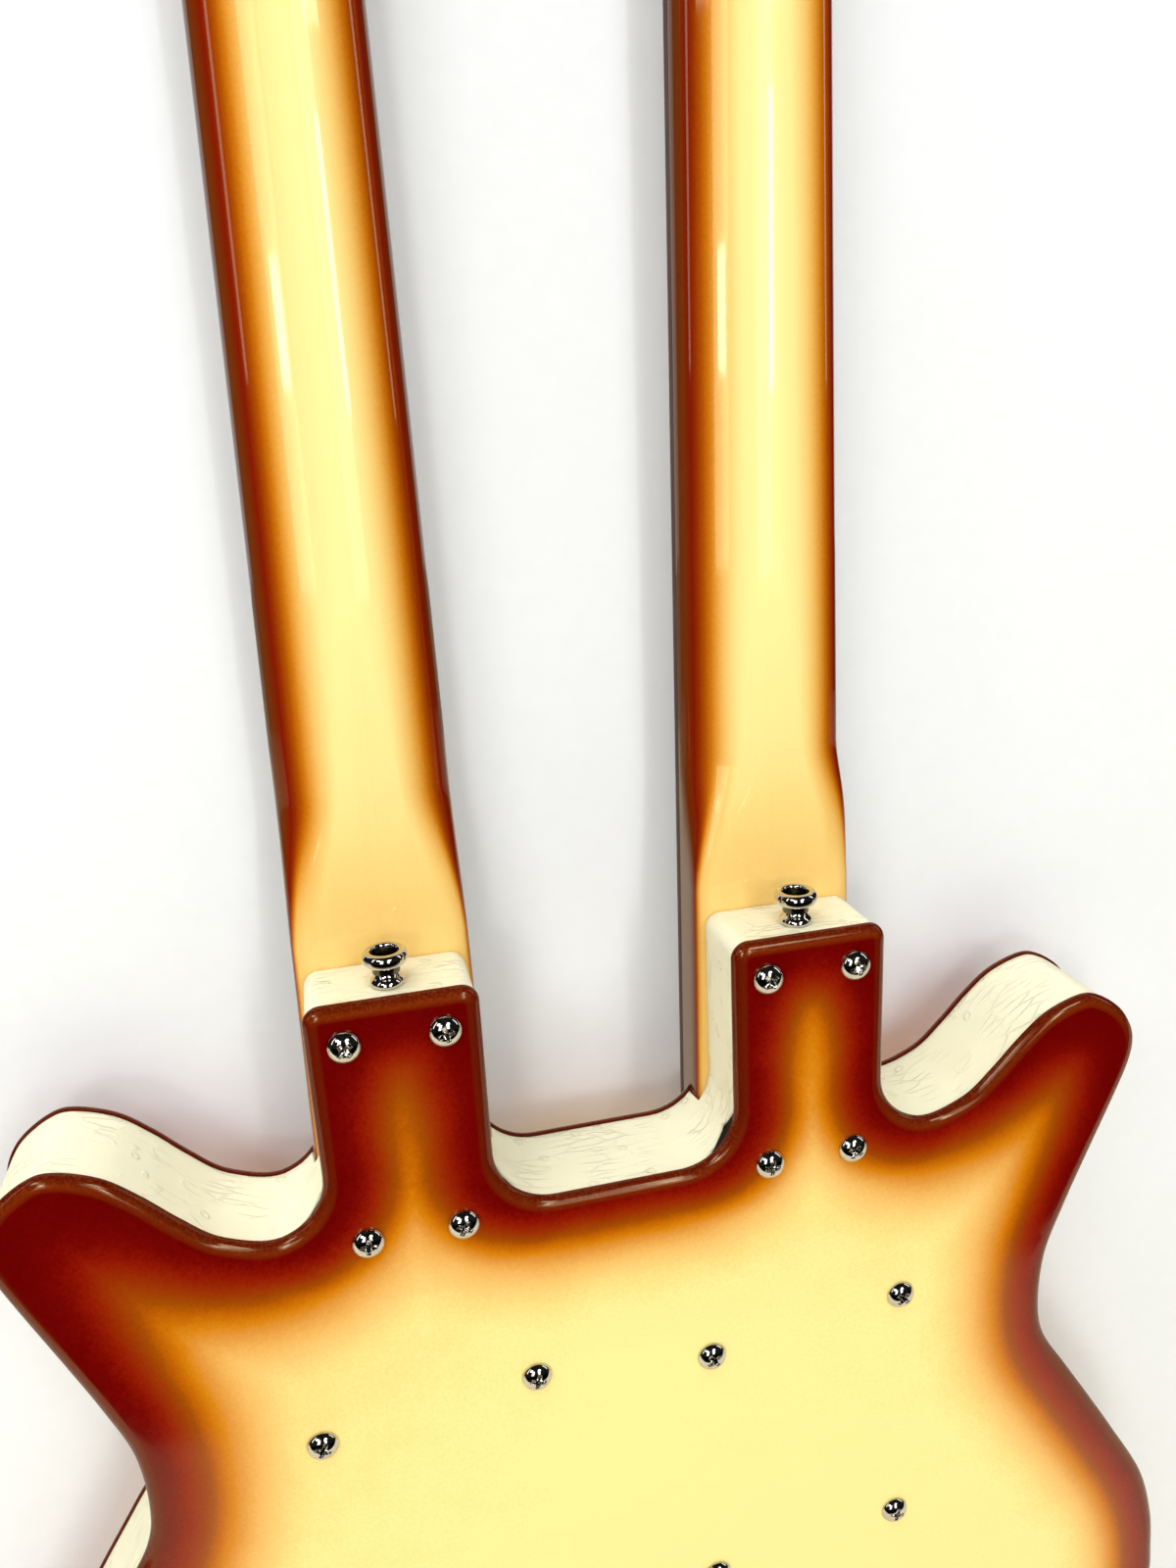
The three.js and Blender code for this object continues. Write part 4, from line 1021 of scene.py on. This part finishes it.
def bridge(name, neck):
    """Bridge: a plate with rolled edges on two screws, and a raised lip that holds the strings."""
    x, half, length = neck["x"], BRIDGE_HALF, BRIDGE_LENGTH
    corners = np.array([[-half, 0], [half, 0], [half, length], [-half, length]]) + [x, BRIDGE_LOW]
    plan = even(softened(corners, (0.5, 0.5, 6, 6), 6), 2.5)
    plate = sheet(plan, [], BRIDGE_TOP, BRIDGE_TOP - 2.2, 6, 0.8, 0.4)
    low, high = BRIDGE_UNDER, BRIDGE_TOP + 2.2
    lip = np.array([[low, -1.1], [low, 1.1], [high, 1.1], [high, -1.1]]) + [0, BRIDGE_LOW]
    shells = [plate, bar(softened(lip, (0.2, 0.2, 1.0, 1.0), 4), x - half, x + half, 0.4)]
    for side in (-1, 1):
        foot = (x + side * (half - 6), BRIDGE_UNDER, BRIDGE_LOW + length - 6)
        shells.append(turned([(0, 0), (3, 0), (3, 8), (0, 8)], 24, foot, FORWARD))
        shells.append(screw_head(foot[0], BRIDGE_TOP, foot[2], 3.6, 1.6, 1, 20 + 50 * side))
    ball = [(0, -1.6), (1.4, -1.6), (1.9, -1.2), (1.9, 1.2), (1.4, 1.6), (0, 1.6)]
    for index in range(6):
        place = (string_x(neck, index, BRIDGE_LOW), BRIDGE_TOP - 0.1, BRIDGE_LOW - 2.6)
        shells.append(turned(ball, 16, place, (1, 0, 0)))
    piece(f"bridge_{name}_plate", f"bridge_{name}", "nickel_metal", shells)


def tuners(name, neck):
    """Tuners: one long base plate, a rounded gear box on it for each post, small screws between the
    boxes, and a post and a button of its own for each string."""
    places = post_places(neck)
    span = places[-1] - places[0]
    along = span / np.linalg.norm(span)
    out = np.array([along[1], -along[0]])

    def plan(centre, half_out, half_along, radius):
        corners = np.array([[-1, -1], [1, -1], [1, 1], [-1, 1]]) * [half_out, half_along]
        rounded = even(softened(corners, radius, 5), 3)
        return centre + rounded[:, :1] * out + rounded[:, 1:] * along

    base = HEAD_BACK - FIT
    middle = (places[0] + places[-1]) / 2
    back = base - TUNER_PLATE
    shells = [sheet(plan(middle, 9.5, np.linalg.norm(span) / 2 + 12.5, 3), [], back, base, 8, 0.4)]
    shells += [sheet(plan(place, 12, 6.5, 2.2), [], base - GEAR_BOX, base, 4, 1.4) for place in places]
    for first, second in zip(places[:-1], places[1:]):
        x, z = (first + second) / 2
        shells.append(screw_head(x, back, z, 2.2, 1.0, -1, 15 + 40 * (z % 3)))
    piece(f"tuner_strip_{name}_plated", f"tuner_strip_{name}", "nickel_metal", shells)
    reach = np.array([out[0], 0, out[1]])
    post_side = [(0, 12.3), (3, 12.3), (3, 34.4), (2.7, 38.9), (3, 43.4), (3, 44.95), (0, 44.95)]
    post_side = softened(post_side, (0.1, 0.3, 1.5, 2, 1.5, 0.5, 0.1), 4, closed=False)
    for index, (x, z) in enumerate(places):
        post = f"tuner_post_{name}_{index + 1}"
        shells = [turned(post_side, 32, (x, 0, z), FORWARD)]
        piece(f"{post}_turned", post, "nickel_metal", shells, body=post)
        button = f"tuner_button_{name}_{index + 1}"
        centre = np.array([x, TUNER_AXIS, z])
        stem = [(0, 0.7), (1.5, 0.7), (1.5, 15), (2.2, 15.4), (2.6, 17.5), (0, 17.6)]
        shells = [turned(stem, 20, centre, reach), grip(centre + reach * 24, reach)]
        piece(f"{button}_moulded", button, "cream_plastic", shells, body=button)


def swell(value):
    """A sine or cosine spread outward, so that an ellipse becomes the fuller oval of power 2.4."""
    return np.sign(value) * np.abs(value)**0.83


def grip(centre, out):
    """Button's grip: an oval cushion, |a/A|^2.4 + |b/B|^2.4 + |c/C|^2.4 = 1 over the three values of
    GRIP_HALVES, with a shallow waist on both faces."""
    far, wide, thick = GRIP_HALVES
    flat = np.array([0.0, 1.0, 0.0])
    across = np.cross(out, flat)
    down, around = np.meshgrid(np.linspace(0, np.pi, 25), np.linspace(0, 2 * np.pi, 48, endpoint=False),
                               indexing="ij")
    a = far * swell(np.sin(down)) * swell(np.cos(around))
    b = wide * swell(np.sin(down)) * swell(np.sin(around))
    c = thick * swell(np.cos(down)) * (1 - 0.16 * np.exp(-(a / 4)**2 - (b / 5)**2))
    return poled(centre + a[..., None] * out + b[..., None] * across + c[..., None] * flat)


# Screws, strap buttons, pickups and controls

def screw_head(x, seat, z, radius, dome, side, turn):
    """Domed head with a cross recess: height = dome * (1 - r^2.6)^0.6 over the head's radius, less the
    recess, whose two arms narrow and rise outward. Side is -1 on the back and 1 on the front."""
    share = np.concatenate([np.linspace(0, 0.62, 26), np.linspace(0.65, 1, 12), [0.985, 0]])
    angle = np.linspace(0, 2 * np.pi, 96, endpoint=False)
    r, a = np.meshgrid(share, angle, indexing="ij")
    height = dome * np.maximum(1 - r**2.6, 0)**0.6
    height[-2:] = 0
    height[-3] = 0.06 * dome
    arm = a - math.radians(turn)
    u, v = np.abs(r * np.cos(arm)), np.abs(r * np.sin(arm))
    long_way, cross_way = np.maximum(u, v), np.minimum(u, v)
    width = 0.15 - 0.08 * long_way
    inside = np.clip((width - cross_way) / 0.022 + 0.5, 0, 1) * np.clip((0.5 - long_way) / 0.03 + 0.5, 0, 1)
    recess = inside * dome * 0.62 * (1 - 0.6 * np.clip(long_way / 0.5, 0, 1))
    height[:-2] -= recess[:-2]
    points = np.stack([x + radius * r * np.cos(a), seat + side * height, z + radius * r * np.sin(a)], -1)
    return poled(points)


def back_screws():
    for name, neck in NECKS.items():
        for index, (across, up) in enumerate(((-1, 1), (1, 1), (-1, -1), (1, -1))):
            x, z = neck["x"] + across * NECK_SCREW_ACROSS, SCREW_CENTRE + up * NECK_SCREW_UP
            node = f"neck_screw_{name}_{index + 1}"
            head = screw_head(x, BACK_FACE - 0.05, z, SCREW_RADIUS, SCREW_DOME, -1, 40 + 67 * index)
            shank = turned([(0, 0), (2.1, 0), (2.1, 40.3), (0, 42.3)], 20, (x, BACK_FACE, z), FORWARD)
            piece(f"{node}_domed", node, "bright_chrome", [head, shank], crease=50)


def pickups():
    """Pickup: a chrome tube with two domed caps, a fine seam under each cap, and two long screws that
    reach it from the back."""
    half = PICKUP_LENGTH / 2
    side = [(0, -half), (4.2, 0.35 - half), (6.9, 1.7 - half), (7.9, 4.2 - half), (8, 8 - half),
            (7.85, 8.15 - half), (7.85, 8.35 - half), (8, 8.5 - half)]
    profile = side + [(radius, -height) for radius, height in side[::-1]]
    axis = (math.cos(PICKUP_TILT), 0, math.sin(PICKUP_TILT))
    for number, (node, centre) in enumerate(pickup_places()):
        shells = [turned(profile, 64, (centre[0], PICKUP_LEVEL, centre[1]), axis)]
        for end in (-1, 1):
            x, z = slanted([[end * PICKUP_SCREWS / 2, 0]], centre)[0]
            turn = 25 + 31 * number + 50 * end
            shells.append(screw_head(x, BACK_FACE - 0.05, z, SCREW_RADIUS, SCREW_DOME, -1, turn))
            shells.append(turned([(0, 0), (1.5, 0), (1.5, 40), (0, 41)], 16, (x, BACK_FACE, z), FORWARD))
        piece(f"{node}_tube", node, "bright_chrome", shells, crease=50)


def strap_buttons():
    """Strap button: a flared foot, a narrow waist and a fat rolled flange round an open recess, with
    the screw's cross head at the bottom of it."""
    profile = [
        (0, 0), (5.3, 0), (5.3, 0.9), (4.9, 1.9), (3.5, 3.2), (3.3, 5.0), (4.0, 6.3), (6.0, 6.5), (6.9, 7.6),
        (6.9, 9.4), (6.2, 10.7), (5.0, 11.0), (4.3, 10.6), (4.15, 9.6), (4.15, 4.0), (0, 4.0),
    ]
    radius = (0.1, 0.4, 0.8, 1.5, 1.5, 1.3, 1.4, 1.6, 1.6, 1.5, 1.2, 0.8, 0.7, 0.8, 0.3, 0.1)
    section = softened(profile, radius, 5, closed=False)
    cup = [(0, 4.05), (4.1, 4.05), (4.1, 9.7), (4.2, 9.7), (4.2, 3.95), (0, 3.95)]
    seats = {"lower": ((-NECK_X, STRAP_DEPTH, FIT), 1), "upper": ((NECK_X, STRAP_DEPTH, FIT), 1),
             "tail": ((0, 0, -LENGTH - FIT), -1)}
    for name, (seat, up) in seats.items():
        button = turned(section, 72, seat, (0, 0, up))
        head, faces = screw_head(0, 0, 0, 3.3, 1.7, 1, 33)
        x, y, z = head.T
        standing = np.stack([seat[0] + x, seat[1] + up * z, seat[2] + up * (STRAP_BORE_FLOOR + y)], -1)
        node = f"strap_button_{name}"
        piece(f"{node}_polished", node, "bright_chrome", [button], crease=50)
        # The recess lining and the screw head in it take the darker steel, painted shade of the recess.
        inside = [turned(cup, 72, seat, (0, 0, up)), (standing, faces)]
        piece(f"{node}_bore", node, "bright_chrome", inside, painted_shade_steel, crease=50)


def controls():
    """Knobs with a fluted side and a pointer line, lever switches in round bushes, the jack with its
    nut, and the cans under the panel."""
    seat = FRONT_FACE + FIT
    top = seat + KNOB_HEIGHT
    knob = [
        (0, 17), (3, 17), (3, seat), (11.2, seat), (11.5, seat + 0.3), (11.5, seat + 2.4), (10.4, seat + 3.6),
        (9.8, seat + 4.6), (8.6, top - 2), (8.1, top - 0.8), (6.6, top - 0.1), (0, top),
    ]
    can = [(0, 8), (11.5, 8), (11.5, 21.8), (3.4, 21.8), (3.4, 16.6), (0, 16.6)]
    cans = []
    for name in ("volume_knob", "tone_knob"):
        x, z = CONTROLS[name]
        shell = turned(softened(knob, 0.7, 4, closed=False), 144, (x, 0, z), FORWARD, 24, 0.45)
        line = np.array([[top - 0.6, 2.5], [top + 0.25, 2.5], [top + 0.25, 7.6], [top - 0.6, 7.6]]) + [0, z]
        mark = bar(softened(line, 0.2, 3), x - 0.5, x + 0.5, 0.15)
        piece(f"{name}_moulded", name, "cream_plastic", [shell], body=name)
        piece(f"{name}_mark", name, "dark_wood", [mark], body=name)
        cans.append(turned(softened(can, 0.6, 4, closed=False), 40, (x, 0, z), FORWARD))
    piece("control_cans", "front_panel", "nickel_metal", cans)
    inner = CORE_FRONT + FIT
    collar = FRONT_FACE + 5
    stick = [(0, inner - 3.5), (3.05, inner - 1.75), (3.5, inner), (3.05, inner + 1.75), (1.4, inner + 3.2),
             (1.4, collar + 1.4), (2.5, collar + 13), (1.9, collar + 16), (0, collar + 17)]
    ring = [(6, FRONT_FACE - 0.3), (6, collar - 0.6), (5.5, collar), (4.0, collar), (3.8, collar - 0.5),
            (3.8, FRONT_FACE - 0.3)]
    for name in ("neck_switch", "pickup_switch"):
        x, z = CONTROLS[name]
        shell = turned(softened(stick, 1.2, 5, closed=False), 40, (x, 0, z), FORWARD)
        piece(f"{name}_lever", name, "nickel_metal", [shell], body=name)
        bush = looped(spun(softened(ring, 0.3, 3), 48, (x, 0, z), FORWARD))
        piece(f"{name}_bush", "front_panel", "nickel_metal", [bush])
    x, z = CONTROLS["output_jack"]
    jack = [(0, 9.2), (4.7, 9.2), (4.7, seat + 2.3), (4.4, seat + 2.6), (3.4, seat + 2.6), (3.2, seat + 2.3),
            (3.2, 12.4), (0, 12.4)]
    nut = sheet(even(circle(x, z, 7, 6), 1.5), [circle(x, z, 4.75, 40)], seat + 1.3, seat, 2, 0.3)
    shells = [turned(softened(jack, 0.2, 3, closed=False), 48, (x, 0, z), FORWARD), nut]
    piece("output_jack_socket", "output_jack", "nickel_metal", shells)


panels()
edge_tape()
for neck_name, one in NECKS.items():
    neck_wood(neck_name, one)
    fingerboard(neck_name, one)
    strings(neck_name, one)
    bridge(neck_name, one)
    tuners(neck_name, one)
back_screws()
pickups()
strap_buttons()
controls()


# Floor, backdrop and light

def staged(name, points, faces, material, **seen):
    """Piece of the studio, with the kinds of ray that see it or pass it."""
    mesh = bpy.data.meshes.new(name)
    mesh.from_pydata(np.asarray(points, float).tolist(), [], faces)
    mesh.materials.append(material)
    made = bpy.data.objects.new(name, mesh)
    bpy.context.collection.objects.link(made)
    for label, value in seen.items():
        setattr(made, f"visible_{label}", value)


def card(name, half, near, far, height, material, **seen):
    """Level rectangle in metres: half its width to either side, from a near to a far place."""
    corners = [(-half, near, height), (half, near, height), (half, far, height), (-half, far, height)]
    staged(name, corners, [(0, 1, 2, 3)], material, **seen)


def paper(name, rgb, one_sided=False):
    """Matt paper with a faint tooth; one-sided paper is clear from behind."""
    f = Finish(name, Roughness=0.9)
    f.wire(f.mix(f.noise(160, 3), linear(rgb), linear([c * 0.985 for c in rgb])))
    if one_sided:
        clear = f.node("ShaderNodeBsdfTransparent").outputs[0]
        behind = f.node("ShaderNodeNewGeometry").outputs["Backfacing"]
        mix = f.node("ShaderNodeMixShader", {0: behind, 1: f.shader.outputs[0], 2: clear})
        f.links.new(mix.outputs[0], f.nodes["Material Output"].inputs["Surface"])
    return f.material


def stage():
    """White sheet just beyond the strings, seen from the back's side only, over a pale floor. Dark
    cards behind the camera keep the lacquer's reflections deep; the camera sees through them."""
    low, wall, seam = -0.47, 0.052, -0.37
    white = paper("white sheet", (246, 249, 252), one_sided=True)
    upright = [(-4, wall, low), (4, wall, low), (4, wall, 5), (-4, wall, 5)]
    staged("backdrop", upright, [(0, 1, 2, 3)], white, shadow=False, glossy=False)
    pale = paper("pale floor", (238, 230, 208))
    card("floor", 5, seam, 5, low, pale)
    card("far floor", 5, -6, seam, low, pale, glossy=False)
    dark = Finish("dark card", Base_Color=(0.012, 0.012, 0.012, 1), Roughness=1.0).material
    angle = np.radians(np.linspace(-125, 125, 40))
    ring = 2.6 * np.stack([np.sin(angle), -np.cos(angle)], -1)
    points = np.vstack([np.column_stack([ring, np.full(40, level)]) for level in (-1.2, 1.5)])
    staged("dark card", points, quads(2, 40, closed=False), dark, camera=False, shadow=False)
    rise = np.radians(np.linspace(30, 88, 12))[:, None]
    turn = np.radians(np.linspace(-110, 110, 40))
    wide = np.cos(rise)
    dome = 3.0 * np.stack([wide * np.sin(turn), -wide * np.cos(turn), np.sin(rise) + 0 * turn], -1)
    faces = quads(12, 40, closed=False)
    staged("dark card above", dome.reshape(-1, 3), faces, dark, camera=False, shadow=False, diffuse=False)
    card("dark card below", 3, -3, -0.2, -0.9, dark, camera=False, shadow=False)


# Azimuth, rise, distance in metres, size, radiance and whether gloss shows the lamp
LAMPS = {
    "top softbox": (-38, 67, 1.9, (2.0, 0.9), 3.8, False),
    "left high window": (-40, 28, 2.0, (0.55, 0.42), 9, True),
    "right high window": (20, 27, 2.0, (0.45, 0.42), 9, True),
    "left softbox": (-68, 24, 1.9, (0.16, 1.3), 3, True),
    "right softbox": (78, 22, 1.9, (0.16, 1.3), 3, True),
    "left panel": (-22, 9, 2.1, (0.5, 1.15), 3.5, True),
    "right panel": (11, 9, 2.1, (0.36, 1.2), 3.3, True),
    "left window": (-21, 7.5, 2.0, (0.24, 0.22), 17, True),
    "right window": (15, 10, 2.0, (0.13, 0.5), 15, True),
    "front left softbox": (-158, 7, 2.2, (0.7, 1.2), 4.2, False),
    "front right softbox": (152, 7, 2.2, (0.7, 1.2), 4.2, False),
}


def softbox(name, azimuth, rise, away, size, radiance, mirrored):
    """Lamp seen from the body at an azimuth, 0 behind the camera and 90 to the right, and a rise, both
    in degrees. Its power makes its face as bright as the radiance. Gloss shows it where mirrored."""
    a, e = math.radians(azimuth), math.radians(rise)
    target = Vector((0.02, 0, 0.12))
    spot = target + away * Vector((math.sin(a) * math.cos(e), -math.cos(a) * math.cos(e), math.sin(e)))
    data = bpy.data.lights.new(name, "AREA")
    data.shape = "RECTANGLE"
    data.size, data.size_y = size
    data.energy = radiance * math.pi * size[0] * size[1]
    lamp = bpy.data.objects.new(name, data)
    lamp.visible_glossy = mirrored
    lamp.location = spot
    lamp.rotation_mode = "QUATERNION"
    lamp.rotation_quaternion = (target - spot).to_track_quat("-Z", "Y")
    bpy.context.collection.objects.link(lamp)


def surroundings():
    """Faint even light, brighter where the camera or gloss looks straight at it."""
    world = bpy.data.worlds.new("studio")
    bpy.context.scene.world = world
    world.use_nodes = True
    nodes, links = world.node_tree.nodes, world.node_tree.links
    background = nodes["Background"]
    background.inputs["Color"].default_value = (0.96, 0.98, 1, 1)
    rays = nodes.new("ShaderNodeLightPath")
    seen = nodes.new("ShaderNodeMath")
    seen.operation = "MAXIMUM"
    links.new(rays.outputs["Is Camera Ray"], seen.inputs[0])
    links.new(rays.outputs["Is Glossy Ray"], seen.inputs[1])
    strength = nodes.new("ShaderNodeMath")
    strength.operation = "MULTIPLY_ADD"
    strength.inputs[1].default_value = 0.5
    strength.inputs[2].default_value = 0.33
    links.new(seen.outputs[0], strength.inputs[0])
    links.new(strength.outputs[0], background.inputs["Strength"])


stage()
for lamp_name, settings in LAMPS.items():
    softbox(lamp_name, *settings)
surroundings()

bpy.context.scene.view_settings.view_transform = "Standard"
